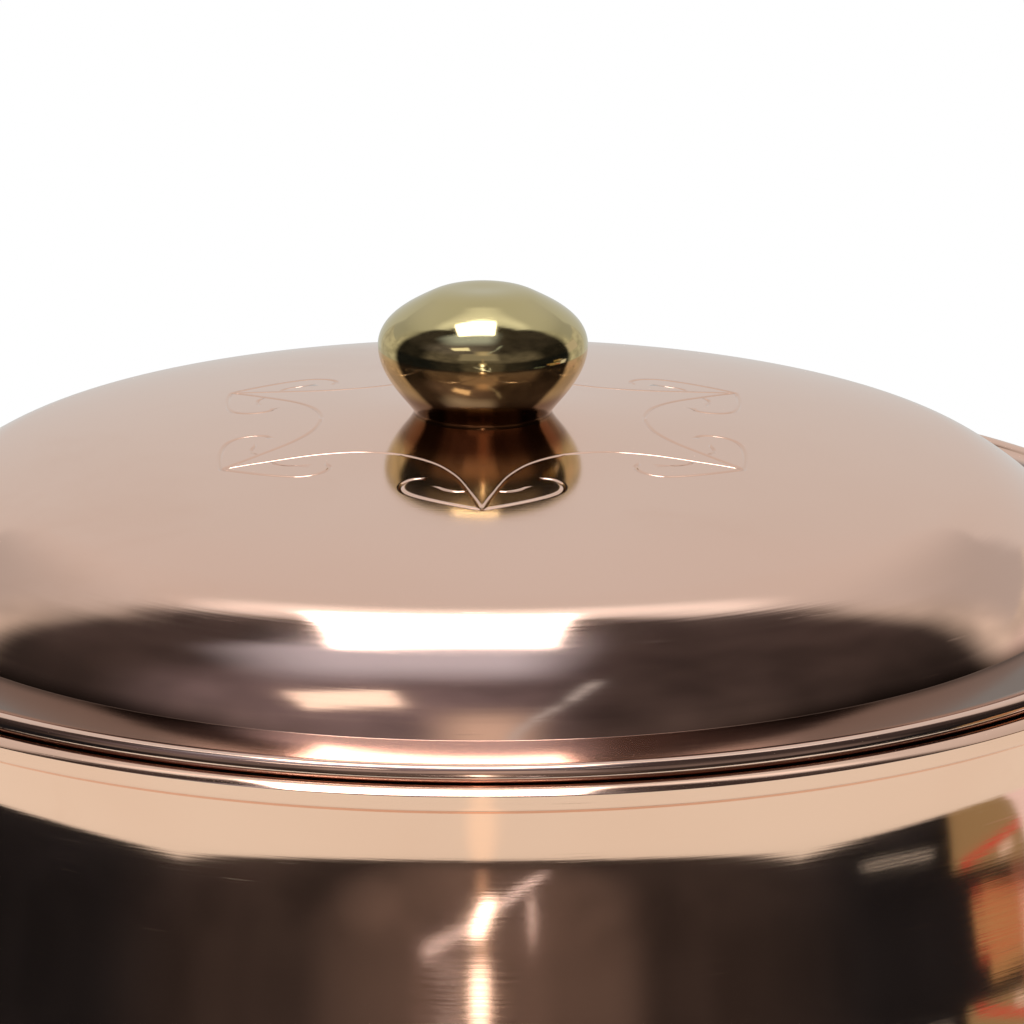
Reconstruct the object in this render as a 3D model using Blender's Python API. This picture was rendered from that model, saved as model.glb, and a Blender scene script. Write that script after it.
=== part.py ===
# Copper soup pot with a domed lid that turns on a hinge at the back.
# Metres, +Z up. The origin is the centre of the flat base. The front is -Y,
# the side handles are on +X and -X, and the hinge is on +Y.

import math

import bmesh
import bpy
from mathutils import Matrix, Vector

# Pot shell, spun copper, its lip curled outwards round a wire
POT_HEIGHT = 0.150
POT_RIM_RADIUS = 0.131
POT_SHEET = 0.0010
POT_BEAD_RADIUS = 0.00235
POT_LIP_DROP = 0.0042
POT_LIP_LEAN = 12.0
POT_NECK_INSET = 0.0019
POT_NECK_DROP = 0.0158
POT_BELLY_SWELL = 0.0050
POT_BELLY_DROP = 0.060
POT_FOOT_TAPER = 0.0030
POT_CORNER_HEIGHT = 0.034
POT_CORNER_REACH = 0.030
POT_FOOT_TILT = 86.0
POT_CURL_END = -110.0

# The pot's rolled rim is dressed flat outside: angles in degrees, places in shares of its radius
BEAD_ROUND_TO = -40.0
BEAD_ROUND_FROM = 110.0
BEAD_FACE_SHARES = (0.925, -0.12)
BEAD_CORNER_SHARES = (1.0, 0.50)
BEAD_CORNER_TILT = 145.0

# Lid shell, spun copper, its edge curled under round a thinner wire
LID_SHEET = 0.0008
LID_BEAD_RADIUS = 0.00165
LID_BEAD_INSET = 0.0023
LID_RISE = 0.0290
LID_CROWN_INSET = 0.0384
LID_CROWN_HEIGHT = 0.0212
LID_CROWN_TILT = -14.0
LID_KNEE_INSET = 0.02685
LID_KNEE_HEIGHT = 0.0150
LID_KNEE_TILT = -37.0
LID_FOOT_INSET = 0.0163
LID_FOOT_HEIGHT = 0.0024
LID_FOOT_TILT = -60.0
LID_FLANGE_TILT = -2.0
LID_VALLEY_INSET = 0.0039
LID_VALLEY_HEIGHT = 0.0019
LID_VALLEY_TILT = -2.0
LID_CURL_START = 150.0
LID_CURL_END = -140.0

# Locating skirt soldered under the lid's edge
SKIRT_SHEET = 0.0008
SKIRT_CLEARANCE = 0.0007
SKIRT_DEPTH = 0.0080
SKIRT_FLANGE = 0.0055

# Turned brass knob with its screw and washer
KNOB_NECK_RADIUS = 0.0130
KNOB_BALL_RADIUS = 0.0188
KNOB_BALL_HEIGHT = 0.0131
KNOB_CROWN_RADIUS = 0.0101
KNOB_CROWN_HEIGHT = 0.0224
KNOB_CROWN_TILT = -26.0
KNOB_HEIGHT = 0.0237
KNOB_BASE_TILT = 88.0
KNOB_BORE_DEPTH = 0.0120
SCREW_RADIUS = 0.0020
SCREW_HEAD_RADIUS = 0.0038
SCREW_HEAD_HEIGHT = 0.0024
SCREW_GRIP = 0.0095
WASHER_RADIUS = 0.0080
WASHER_SHEET = 0.0010

# Cast brass side handles, each with two riveted pads
HANDLE_DROP = 0.034
HANDLE_HALF_SPAN_ANGLE = 17.0
HANDLE_REACH = 0.036
HANDLE_RISE = 0.009
HANDLE_ROOT_RADIUS = 0.0054
HANDLE_NECK_RADIUS = 0.0034
HANDLE_COLLAR_RADIUS = 0.0052
HANDLE_GRIP_RADIUS = 0.0050
PAD_HALF_HEIGHT = 0.0150
PAD_HALF_WIDTH = 0.0092
PAD_SHEET = 0.0028
PAD_RIVET_OFFSET = 0.0095

# Rear hinge, five knuckles on a steel pin, with a stop for the open lid
HINGE_HALF_LENGTH = 0.0150
HINGE_PIN_RADIUS = 0.0015
HINGE_KNUCKLE_RADIUS = 0.0032
HINGE_STANDOFF = 0.0065
HINGE_RISE = 0.0001
HINGE_PIN_HEAD_RADIUS = 0.0024
HINGE_PIN_HEAD_HEIGHT = 0.0012
LEAF_SHEET = 0.0016
POT_LEAF_START_DROP = 0.0255
POT_LEAF_END_DROP = 0.0510
POT_LEAF_RIVET_DROPS = (0.0315, 0.0315, 0.0440)
LID_LEAF_INNER_INSET = 0.0150
LID_LEAF_OUTER_INSET = 0.0078
LID_LEAF_RIVET_INSETS = (0.0113, 0.0113, 0.0113)
LEAF_RIVET_EDGE = 0.0065
LEAF_RIVET_SIDES = (-1, 1, 0)
STOP_ANGLE = 100.0
STOP_HEIGHT = 0.0080
STOP_THICKNESS = 0.0020

# Copper rivets
RIVET_SHANK_RADIUS = 0.0016
RIVET_HEAD_RADIUS = 0.0029
RIVET_HEAD_HEIGHT = 0.0014
RIVET_TAIL_RADIUS = 0.0026
RIVET_TAIL_HEIGHT = 0.0009

# Gap between neighbouring pieces, and how far a cutter passes what it cuts
GAP = 0.0003
OVERRUN = 0.0020
WELD = 0.000001

# Facets
ROUND_SEGMENTS = 40
KNOB_SEGMENTS = 32
WIRE_SEGMENTS = 6
SMALL_SEGMENTS = 10
RIVET_SEGMENTS = 8
BORE_SEGMENTS = 12
STRAP_STEPS = 4
KNUCKLES = 5

# Along half of a handle's bar: share of the way, and which named radius it has
HANDLE_STATION_SHARES = (0.0, 0.08, 0.20, 0.30, 0.34, 0.38, 0.42, 0.50, 0.70, 1.0)
HANDLE_STATION_RADII = (
    HANDLE_ROOT_RADIUS,
    HANDLE_ROOT_RADIUS,
    HANDLE_NECK_RADIUS,
    HANDLE_NECK_RADIUS,
    HANDLE_COLLAR_RADIUS,
    HANDLE_COLLAR_RADIUS,
    HANDLE_NECK_RADIUS,
    HANDLE_NECK_RADIUS,
    HANDLE_GRIP_RADIUS,
    HANDLE_GRIP_RADIUS,
)
HANDLE_BEND_SHARE = 0.62

# How far each end of a curve pulls, as a share of its chord: in general, then its start and end
CURVE_SHARE = 0.36
CORNER_SHARES = (0.55, 0.50)
CROWN_SHARES = (0.37, 0.23)
KNOB_SHARES = (0.22, 0.30)
POT_LEAF_SHARES = (0.45, 0.40)

# Least share of a mitre's corner that is trusted, and the angle past which an edge is sharp
MITRE_LIMIT_SHARE = 0.36
SHARP_ANGLE = 40.0

# Sizes that follow from the ones above
POT_BEAD_CENTRE = Vector((POT_RIM_RADIUS - POT_BEAD_RADIUS, POT_HEIGHT - POT_BEAD_RADIUS))
POT_LIP_RADIUS = POT_BEAD_CENTRE.x - POT_BEAD_RADIUS + POT_SHEET
POT_NECK_RADIUS = POT_LIP_RADIUS - POT_NECK_INSET
POT_BELLY_RADIUS = POT_NECK_RADIUS + POT_BELLY_SWELL
POT_FOOT_RADIUS = POT_BELLY_RADIUS - POT_FOOT_TAPER
BEAD_REACH = POT_BEAD_RADIUS + LID_BEAD_RADIUS + GAP
LID_BEAD_CENTRE = POT_BEAD_CENTRE + Vector((
    -LID_BEAD_INSET,
    math.sqrt(BEAD_REACH ** 2 - LID_BEAD_INSET ** 2),
))
LID_SEAT = LID_BEAD_CENTRE.y - LID_BEAD_RADIUS
LID_APEX = LID_SEAT + LID_RISE
HOLE_RADIUS = SCREW_RADIUS + GAP
RIVET_HOLE_RADIUS = RIVET_SHANK_RADIUS + GAP
HINGE_Y = POT_RIM_RADIUS + HINGE_STANDOFF
HINGE_Z = LID_SEAT - HINGE_RISE
LEAF_ANGLE = math.asin(HINGE_HALF_LENGTH / HINGE_Y)
LEAF_RIVET_SPREAD = HINGE_HALF_LENGTH - LEAF_RIVET_EDGE
KNUCKLE_LENGTH = 2 * HINGE_HALF_LENGTH / KNUCKLES
FACET_SHARE = math.cos(math.pi / ROUND_SEGMENTS)
BACK = math.pi / 2


def polar(centre, radius, degrees):
    """Point of a circle in the radius-height plane."""
    angle = math.radians(degrees)
    return centre + radius * Vector((math.cos(angle), math.sin(angle)))


def arc(centre, radius, start, end, steps):
    return [polar(centre, radius, start + (end - start) * i / steps) for i in range(steps + 1)]


def curve(start, start_tilt, end, end_tilt, steps, shares=(CURVE_SHARE, CURVE_SHARE)):
    """Cubic between two points, leaving and arriving at the given tilts in degrees."""
    chord = (end - start).length
    first = polar(start, chord * shares[0], start_tilt)
    second = polar(end, -chord * shares[1], end_tilt)
    points = []
    for i in range(steps + 1):
        t = i / steps
        s = 1 - t
        points.append(s ** 3 * start + 3 * s * s * t * first + 3 * s * t * t * second + t ** 3 * end)
    return points


def chain(*pieces):
    """Joins curves whose ends meet into one list of points."""
    points = list(pieces[0])
    for piece in pieces[1:]:
        points.extend(piece[1:])
    return points


def offset(points, distance):
    """The line moved to its left by a distance, with mitred corners."""
    moved = []
    for i, point in enumerate(points):
        before = points[max(i - 1, 0)]
        after = points[min(i + 1, len(points) - 1)]
        backward = (point - before) if i > 0 else (after - point)
        forward = (after - point) if i < len(points) - 1 else backward
        a = Vector((-backward.y, backward.x)).normalized()
        b = Vector((-forward.y, forward.x)).normalized()
        middle = (a + b).normalized()
        moved.append(point + middle * (distance / max(middle.dot(a), MITRE_LIMIT_SHARE)))
    return moved


def between(points, low, high, axis):
    """The stretch of a line whose coordinate lies between two values, cut exactly."""
    rising = points if points[-1][axis] > points[0][axis] else points[::-1]
    inner = [p for p in rising if low < p[axis] < high]
    return [point_at(rising, low, axis)] + inner + [point_at(rising, high, axis)]


def point_at(points, value, axis):
    rising = points if points[-1][axis] > points[0][axis] else points[::-1]
    for a, b in zip(rising, rising[1:]):
        if a[axis] <= value <= b[axis]:
            return a.lerp(b, (value - a[axis]) / (b[axis] - a[axis]))
    return rising[-1].copy()


def outward_at(points, value, axis):
    """Direction away from the pot or lid, square to its sheet, in the radius-height plane."""
    rising = points if points[-1][axis] > points[0][axis] else points[::-1]
    for a, b in zip(rising, rising[1:]):
        if a[axis] <= value <= b[axis]:
            along = (b - a).normalized()
            normal = Vector((along.y, -along.x))
            return normal if normal.x > 0 else -normal
    return Vector((1, 0))


def around(point, angle):
    """A radius-height point turned to its place round the pot's axis."""
    return Vector((point.x * math.cos(angle), point.x * math.sin(angle), point.y))


def pot_wall():
    """Outside of the pot's sheet, from the flat base up to the curl."""
    base = Vector((POT_FOOT_RADIUS - POT_CORNER_REACH, 0))
    foot = Vector((POT_FOOT_RADIUS, POT_CORNER_HEIGHT))
    belly = Vector((POT_BELLY_RADIUS, POT_HEIGHT - POT_BELLY_DROP))
    neck = Vector((POT_NECK_RADIUS, POT_HEIGHT - POT_NECK_DROP))
    lip = Vector((POT_LIP_RADIUS, POT_HEIGHT - POT_LIP_DROP))
    return chain(
        curve(base, 0, foot, POT_FOOT_TILT, 5, CORNER_SHARES),
        curve(foot, POT_FOOT_TILT, belly, 90, 2),
        curve(belly, 90, neck, 90, 5),
        curve(neck, 90, lip, 90 - POT_LIP_LEAN, 3),
    )


def lid_top():
    """Outside of the lid's sheet, from the screw hole out to the valley before its bead."""
    edge = LID_BEAD_CENTRE.x
    apex = Vector((HOLE_RADIUS, LID_APEX))
    crown = Vector((edge - LID_CROWN_INSET, LID_SEAT + LID_CROWN_HEIGHT))
    knee = Vector((edge - LID_KNEE_INSET, LID_SEAT + LID_KNEE_HEIGHT))
    foot = Vector((edge - LID_FOOT_INSET, LID_SEAT + LID_FOOT_HEIGHT))
    valley = Vector((edge - LID_VALLEY_INSET, LID_SEAT + LID_VALLEY_HEIGHT))
    return chain(
        curve(apex, 0, crown, LID_CROWN_TILT, 5, CROWN_SHARES),
        curve(crown, LID_CROWN_TILT, knee, LID_KNEE_TILT, 4),
        curve(knee, LID_KNEE_TILT, foot, LID_FOOT_TILT, 3),
        curve(foot, LID_FLANGE_TILT, valley, LID_VALLEY_TILT, 2),
    )


def pot_bead():
    """Outside of the pot's rolled rim, from the curl's free end round to the top of the inside."""
    corner = POT_BEAD_CENTRE + POT_BEAD_RADIUS * Vector(BEAD_CORNER_SHARES)
    rounded = polar(POT_BEAD_CENTRE, POT_BEAD_RADIUS, BEAD_ROUND_FROM)
    face = [
        polar(POT_BEAD_CENTRE, POT_BEAD_RADIUS, BEAD_ROUND_TO),
        POT_BEAD_CENTRE + POT_BEAD_RADIUS * Vector(BEAD_FACE_SHARES),
        corner,
    ]
    return chain(
        arc(POT_BEAD_CENTRE, POT_BEAD_RADIUS, POT_CURL_END, BEAD_ROUND_TO, 2),
        face,
        curve(corner, BEAD_CORNER_TILT, rounded, BEAD_ROUND_FROM + 90, 2),
        arc(POT_BEAD_CENTRE, POT_BEAD_RADIUS, BEAD_ROUND_FROM, 180, 1),
    )


def make_material(name, colour, roughness, metallic=1.0):
    material = bpy.data.materials.new(name)
    material.use_nodes = True
    shader = material.node_tree.nodes["Principled BSDF"]
    shader.inputs["Base Color"].default_value = (*colour, 1.0)
    shader.inputs["Roughness"].default_value = roughness
    shader.inputs["Metallic"].default_value = metallic
    material.diffuse_color = (*colour, 1.0)
    return material


def make_object(name, bm, material=None, pivot=None):
    bmesh.ops.recalc_face_normals(bm, faces=bm.faces)
    mesh = bpy.data.meshes.new(name)
    bm.to_mesh(mesh)
    bm.free()
    mesh.shade_smooth()
    mesh.set_sharp_from_angle(angle=math.radians(SHARP_ANGLE))
    obj = bpy.data.objects.new(name, mesh)
    bpy.context.scene.collection.objects.link(obj)
    if material:
        mesh.materials.append(material)
    else:
        obj.display_type = "WIRE"
        obj.hide_render = True
    if pivot:
        obj.parent = pivot
        obj.location = -pivot.location
    return obj


def combine(target, other, operation):
    modifier = target.modifiers.new(other.name, "BOOLEAN")
    modifier.object = other
    modifier.operation = operation
    modifier.solver = "EXACT"


def turned(outline, segments, closed=True):
    """Spins a radius-height outline round the Z axis into a closed solid."""
    bm = bmesh.new()
    verts = [bm.verts.new((p.x, 0, p.y)) for p in outline]
    loop = verts + verts[:1] if closed else verts
    edges = [bm.edges.new(pair) for pair in zip(loop, loop[1:])]
    bmesh.ops.spin(bm, geom=verts + edges, cent=(0, 0, 0), axis=(0, 0, 1),
                   angle=2 * math.pi, steps=segments, use_merge=True)
    bmesh.ops.remove_doubles(bm, verts=bm.verts, dist=WELD)
    return bm


def strap(section, centre_angle, half_angle, steps):
    """Spins a closed radius-height section through part of a turn, with flat ends."""
    bm = bmesh.new()
    start = centre_angle - half_angle
    face = bm.faces.new([bm.verts.new(around(p, start)) for p in section])
    spun = bmesh.ops.extrude_face_region(bm, geom=[face])
    for step in range(steps):
        new_verts = [v for v in spun["geom"] if isinstance(v, bmesh.types.BMVert)]
        bmesh.ops.rotate(bm, verts=new_verts, cent=(0, 0, 0),
                         matrix=Matrix.Rotation(2 * half_angle / steps, 3, "Z"))
        if step < steps - 1:
            end_face = [f for f in spun["geom"] if isinstance(f, bmesh.types.BMFace)]
            spun = bmesh.ops.extrude_face_region(bm, geom=end_face)
            bmesh.ops.delete(bm, geom=end_face, context="FACES_ONLY")
    return bm


def rod(radius, start, end, segments):
    """Round bar between two points."""
    bm = bmesh.new()
    axis = end - start
    turn = axis.to_track_quat("Z", "Y").to_matrix().to_4x4()
    place = Matrix.Translation(start.lerp(end, 0.5)) @ turn
    bmesh.ops.create_cone(bm, cap_ends=True, segments=segments, radius1=radius, radius2=radius,
                          depth=axis.length, matrix=place)
    return bm


def block(low, high):
    bm = bmesh.new()
    middle = low.lerp(high, 0.5)
    place = Matrix.Translation(middle) @ Matrix.Diagonal((*(high - low), 1))
    bmesh.ops.create_cube(bm, size=1.0, matrix=place)
    return bm


def merged(parts):
    """Several separate meshes as one, for a cutter."""
    whole = bmesh.new()
    for part in parts:
        mesh = bpy.data.meshes.new("cutter_part")
        part.to_mesh(mesh)
        part.free()
        whole.from_mesh(mesh)
        bpy.data.meshes.remove(mesh)
    return whole


def rivet_outline(plate, sheet):
    """Half section of a set rivet, its height measured from the sheet's outside."""
    inner = -sheet - GAP - POT_RIM_RADIUS * (1 - FACET_SHARE)
    seat = plate + 2 * GAP
    dome = [
        Vector((RIVET_HEAD_RADIUS * math.cos(a), seat + RIVET_HEAD_HEIGHT * math.sin(a)))
        for a in (0, math.pi / 4, math.pi / 2)
    ]
    dome[-1].x = 0
    return [
        Vector((0, inner - RIVET_TAIL_HEIGHT)),
        Vector((RIVET_TAIL_RADIUS, inner - RIVET_TAIL_HEIGHT)),
        Vector((RIVET_TAIL_RADIUS, inner)),
        Vector((RIVET_SHANK_RADIUS, inner)),
        Vector((RIVET_SHANK_RADIUS, seat)),
    ] + dome


def make_rivet(name, place, plate, sheet, material, pivot=None):
    bm = turned(rivet_outline(plate, sheet), RIVET_SEGMENTS, closed=False)
    obj = make_object(name, bm, material, pivot)
    shift = pivot.location if pivot else Vector((0, 0, 0))
    obj.location = place.translation - shift
    obj.rotation_euler = place.to_euler()
    return obj


def rivet_place(profile, value, axis, angle, sideways=0.0):
    """Frame on the sheet's outside whose Z leaves the sheet squarely."""
    point = point_at(profile, value, axis)
    normal = outward_at(profile, value, axis)
    turn = angle + math.asin(sideways / point.x)
    direction = around(normal, turn)
    place = direction.to_track_quat("Z", "X").to_matrix().to_4x4()
    place.translation = around(point, turn)
    return place


def rivet_hole(place, plate):
    direction = place.to_3x3() @ Vector((0, 0, 1))
    start = place.translation - direction * (POT_SHEET + OVERRUN)
    end = place.translation + direction * (plate + OVERRUN)
    return rod(RIVET_HOLE_RADIUS, start, end, RIVET_SEGMENTS)


def make_pot_shell(material, places):
    wall = pot_wall()
    inside = offset(wall, POT_SHEET)
    hollow = arc(POT_BEAD_CENTRE, POT_BEAD_RADIUS - POT_SHEET, 180, POT_CURL_END, 4)
    outline = [Vector((0, 0))] + wall + hollow + pot_bead() + inside[::-1] + [Vector((0, POT_SHEET))]
    shell = make_object("pot_shell", turned(outline, ROUND_SEGMENTS, closed=False), material)
    holes = make_object("pot_rivet_holes", merged([rivet_hole(p, t) for p, t in places]))
    combine(shell, holes, "DIFFERENCE")


def make_wire(name, centre, radius, material, pivot=None):
    outline = arc(centre, radius, 0, 360, WIRE_SEGMENTS)[:-1]
    make_object(name, turned(outline, ROUND_SEGMENTS), material, pivot)


def make_lid_shell(material, pivot, places):
    top = lid_top()
    under = offset(top, -LID_SHEET)
    skin = arc(LID_BEAD_CENTRE, LID_BEAD_RADIUS, LID_CURL_START, LID_CURL_END, 6)
    hollow = arc(LID_BEAD_CENTRE, LID_BEAD_RADIUS - LID_SHEET, LID_CURL_END, LID_CURL_START, 4)
    under[0].x = HOLE_RADIUS
    outline = top + skin + hollow + under[::-1]
    shell = make_object("lid_shell", turned(outline, ROUND_SEGMENTS), material, pivot)
    holes = make_object("lid_rivet_holes", merged([rivet_hole(p, t) for p, t in places]), pivot=pivot)
    combine(shell, holes, "DIFFERENCE")


def make_lid_skirt(material, pivot):
    """Ring with a flange that lies under the lid and a wall that drops into the mouth."""
    outer = LID_BEAD_CENTRE.x - LID_BEAD_RADIUS - SKIRT_CLEARANCE
    curl_start = polar(LID_BEAD_CENTRE, LID_BEAD_RADIUS - LID_SHEET, LID_CURL_START)
    under = offset(lid_top(), -LID_SHEET) + [curl_start]
    flange = between(offset(under, -GAP), outer - SKIRT_FLANGE, outer, 0)
    lower = between(offset(flange, -SKIRT_SHEET), flange[0].x, outer - SKIRT_SHEET, 0)
    bottom = LID_SEAT - SKIRT_DEPTH
    drop = [Vector((outer, bottom)), Vector((outer - SKIRT_SHEET, bottom))]
    make_object("lid_skirt", turned(flange + drop + lower[::-1], ROUND_SEGMENTS), material, pivot)


def make_knob(brass, steel, pivot):
    base = LID_APEX + GAP
    widest = Vector((KNOB_BALL_RADIUS, base + KNOB_BALL_HEIGHT))
    flank = curve(Vector((KNOB_NECK_RADIUS, base)), KNOB_BASE_TILT, widest, 90, 5, KNOB_SHARES)
    shoulder = Vector((KNOB_CROWN_RADIUS, base + KNOB_CROWN_HEIGHT))
    crown = curve(widest, 90, shoulder, 180 + KNOB_CROWN_TILT, 3)
    cap = curve(shoulder, 180 + KNOB_CROWN_TILT, Vector((0, base + KNOB_HEIGHT)), 180, 2)
    dome = chain(flank, crown, cap)
    bore = [Vector((0, base + KNOB_BORE_DEPTH)), Vector((HOLE_RADIUS, base + KNOB_BORE_DEPTH)),
            Vector((HOLE_RADIUS, base))]
    make_object("knob", turned(bore + dome, KNOB_SEGMENTS, closed=False), brass, pivot)

    under = LID_APEX - LID_SHEET - GAP
    ring = [Vector((HOLE_RADIUS, under)), Vector((WASHER_RADIUS, under)),
            Vector((WASHER_RADIUS, under - WASHER_SHEET)), Vector((HOLE_RADIUS, under - WASHER_SHEET))]
    make_object("knob_washer", turned(ring, KNOB_SEGMENTS // 2), steel, pivot)

    head = under - WASHER_SHEET - GAP
    screw = [
        Vector((0, base + SCREW_GRIP)),
        Vector((SCREW_RADIUS, base + SCREW_GRIP)),
        Vector((SCREW_RADIUS, head)),
        Vector((SCREW_HEAD_RADIUS, head)),
        Vector((SCREW_HEAD_RADIUS, head - SCREW_HEAD_HEIGHT / 2)),
        Vector((SCREW_RADIUS, head - SCREW_HEAD_HEIGHT)),
        Vector((0, head - SCREW_HEAD_HEIGHT)),
    ]
    make_object("knob_screw", turned(screw, SMALL_SEGMENTS, closed=False), steel, pivot)


def handle_path(side):
    """Centre line of a handle's bar from one pad to the other, in equal steps of its curve."""
    wall = pot_wall()
    height = POT_HEIGHT - HANDLE_DROP
    angle = math.radians(HANDLE_HALF_SPAN_ANGLE)
    root = point_at(wall, height, 1)
    normal = outward_at(wall, height, 1)
    start = around(root + normal * (GAP + PAD_SHEET / 2), -angle)
    first = start + around(normal, -angle) * (HANDLE_REACH * HANDLE_BEND_SHARE)
    end = Vector((root.x + HANDLE_REACH, 0, height + HANDLE_RISE))
    second = end + Vector((0, start.y * HANDLE_BEND_SHARE, 0))
    half = []
    for t in HANDLE_STATION_SHARES:
        s = 1 - t
        half.append(s ** 3 * start + 3 * s * s * t * first + 3 * s * t * t * second + t ** 3 * end)
    mirrored = [Vector((p.x, -p.y, p.z)) for p in half[-2::-1]]
    flip = Vector((side, 1, 1))
    return [p * flip for p in half + mirrored]


def make_bar(name, side, material):
    """Rings of the named radii along the path, bridged one to the next."""
    path = handle_path(side)
    radii = HANDLE_STATION_RADII + HANDLE_STATION_RADII[-2::-1]
    bm = bmesh.new()
    previous = None
    for i, (point, radius) in enumerate(zip(path, radii)):
        before = path[max(i - 1, 0)]
        after = path[min(i + 1, len(path) - 1)]
        tangent = (after - before).normalized()
        across = Vector((0, 0, 1)).cross(tangent).normalized()
        upward = tangent.cross(across)
        frame = Matrix((across, upward, tangent)).transposed().to_4x4()
        frame.translation = point
        at_end = i in (0, len(path) - 1)
        ring = bmesh.ops.create_circle(bm, cap_ends=at_end, radius=radius, segments=SMALL_SEGMENTS,
                                       matrix=frame)["verts"]
        edges = {e for v in ring for e in v.link_edges if e.other_vert(v) in ring}
        if previous:
            bmesh.ops.bridge_loops(bm, edges=list(previous | edges))
        previous = edges
    return make_object(name, bm, material)


def make_pad(name, side, angle):
    """Oval plate that follows the pot's wall."""
    wall = pot_wall()
    height = POT_HEIGHT - HANDLE_DROP
    low = height - PAD_HALF_HEIGHT - OVERRUN
    high = height + PAD_HALF_HEIGHT + OVERRUN
    near = between(offset(wall, -GAP), low, high, 1)
    far = between(offset(wall, -GAP - PAD_SHEET), low, high, 1)
    centre = angle if side > 0 else math.pi - angle
    half_angle = (PAD_HALF_WIDTH + OVERRUN) / POT_NECK_RADIUS
    plate = make_object(name, strap(near + far[::-1], centre, half_angle, STRAP_STEPS))
    direction = around(Vector((1, 0)), centre)
    middle = around(Vector((POT_BELLY_RADIUS, height)), centre)
    bm = rod(PAD_HALF_WIDTH, middle - direction * PAD_HALF_HEIGHT, middle + direction * PAD_HALF_HEIGHT,
             2 * SMALL_SEGMENTS)
    stretch = Matrix.Diagonal((1, 1, PAD_HALF_HEIGHT / PAD_HALF_WIDTH, 1))
    lift = Matrix.Translation((0, 0, height))
    bmesh.ops.transform(bm, matrix=lift @ stretch @ lift.inverted(), verts=bm.verts)
    combine(plate, make_object(name + "_oval", bm), "INTERSECT")
    return plate


def handle_rivet_places(side):
    wall = pot_wall()
    height = POT_HEIGHT - HANDLE_DROP
    places = []
    for turn in (-1, 1):
        for up in (-1, 1):
            angle = turn * math.radians(HANDLE_HALF_SPAN_ANGLE)
            angle = angle if side > 0 else math.pi - angle
            places.append(rivet_place(wall, height + up * PAD_RIVET_OFFSET, 1, angle))
    return places


def make_handle(word, side, brass, copper):
    bar = make_bar("handle_" + word, side, brass)
    for number, turn in enumerate((-1, 1), 1):
        angle = turn * math.radians(HANDLE_HALF_SPAN_ANGLE)
        combine(bar, make_pad(f"handle_{word}_pad_{number}", side, angle), "UNION")
    places = handle_rivet_places(side)
    holes = make_object(f"handle_{word}_holes", merged([rivet_hole(p, PAD_SHEET) for p in places]))
    combine(bar, holes, "DIFFERENCE")
    for number, place in enumerate(places, 1):
        make_rivet(f"handle_{word}_rivet_{number}", place, PAD_SHEET, POT_SHEET, copper)
    return [(place, PAD_SHEET) for place in places]


def leaf_section(middle):
    """Closed section of a leaf of even thickness about its middle line."""
    return offset(middle, LEAF_SHEET / 2) + offset(middle, -LEAF_SHEET / 2)[::-1]


def pot_leaf_middle():
    wall = offset(pot_wall(), -GAP - LEAF_SHEET / 2)
    hugging = between(wall, POT_HEIGHT - POT_LEAF_END_DROP, POT_HEIGHT - POT_LEAF_START_DROP, 1)
    top = Vector((HINGE_Y - HINGE_KNUCKLE_RADIUS + LEAF_SHEET / 2, HINGE_Z))
    return chain(hugging, curve(hugging[-1], 90, top, 90, 5, POT_LEAF_SHARES))


def lid_leaf_middle():
    edge = LID_BEAD_CENTRE.x
    top = offset(lid_top(), GAP + LEAF_SHEET / 2)
    hugging = between(top, edge - LID_LEAF_INNER_INSET, edge - LID_LEAF_OUTER_INSET, 0)
    over = Vector((edge, LID_SEAT + 2 * LID_BEAD_RADIUS + 2 * GAP + LEAF_SHEET / 2))
    end = Vector((HINGE_Y, HINGE_Z + HINGE_KNUCKLE_RADIUS - LEAF_SHEET / 2))
    return chain(hugging, curve(hugging[-1], LID_VALLEY_TILT, over, 0, 3), curve(over, 0, end, 0, 3))


def barrel():
    reach = Vector((HINGE_HALF_LENGTH, 0, 0))
    centre = Vector((0, HINGE_Y, HINGE_Z))
    return rod(HINGE_KNUCKLE_RADIUS, centre - reach, centre + reach, 2 * SMALL_SEGMENTS)


def knuckle_cuts(own):
    """Blocks that clear the knuckles of the other leaf."""
    reach = HINGE_KNUCKLE_RADIUS + 2 * GAP
    blocks = []
    for number in range(KNUCKLES):
        if number in own:
            continue
        left = -HINGE_HALF_LENGTH + number * KNUCKLE_LENGTH
        right = left + KNUCKLE_LENGTH
        left -= OVERRUN if number == 0 else GAP / 2
        right += OVERRUN if number == KNUCKLES - 1 else GAP / 2
        blocks.append(block(Vector((left, HINGE_Y - reach, HINGE_Z - reach)),
                            Vector((right, HINGE_Y + reach, HINGE_Z + reach))))
    return merged(blocks)


def finish_leaf(name, leaf, own, places, pivot=None):
    """Adds the knuckles to a leaf, clears the other leaf's and drills both kinds of hole."""
    combine(leaf, make_object(name + "_barrel", barrel(), pivot=pivot), "UNION")
    combine(leaf, make_object(name + "_knuckle_cuts", knuckle_cuts(own), pivot=pivot), "DIFFERENCE")
    reach = Vector((HINGE_HALF_LENGTH + OVERRUN, 0, 0))
    centre = Vector((0, HINGE_Y, HINGE_Z))
    bore = rod(HINGE_PIN_RADIUS + GAP, centre - reach, centre + reach, BORE_SEGMENTS)
    combine(leaf, make_object(name + "_bore", bore, pivot=pivot), "DIFFERENCE")
    holes = merged([rivet_hole(p, LEAF_SHEET) for p in places])
    combine(leaf, make_object(name + "_rivet_holes", holes, pivot=pivot), "DIFFERENCE")


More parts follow.
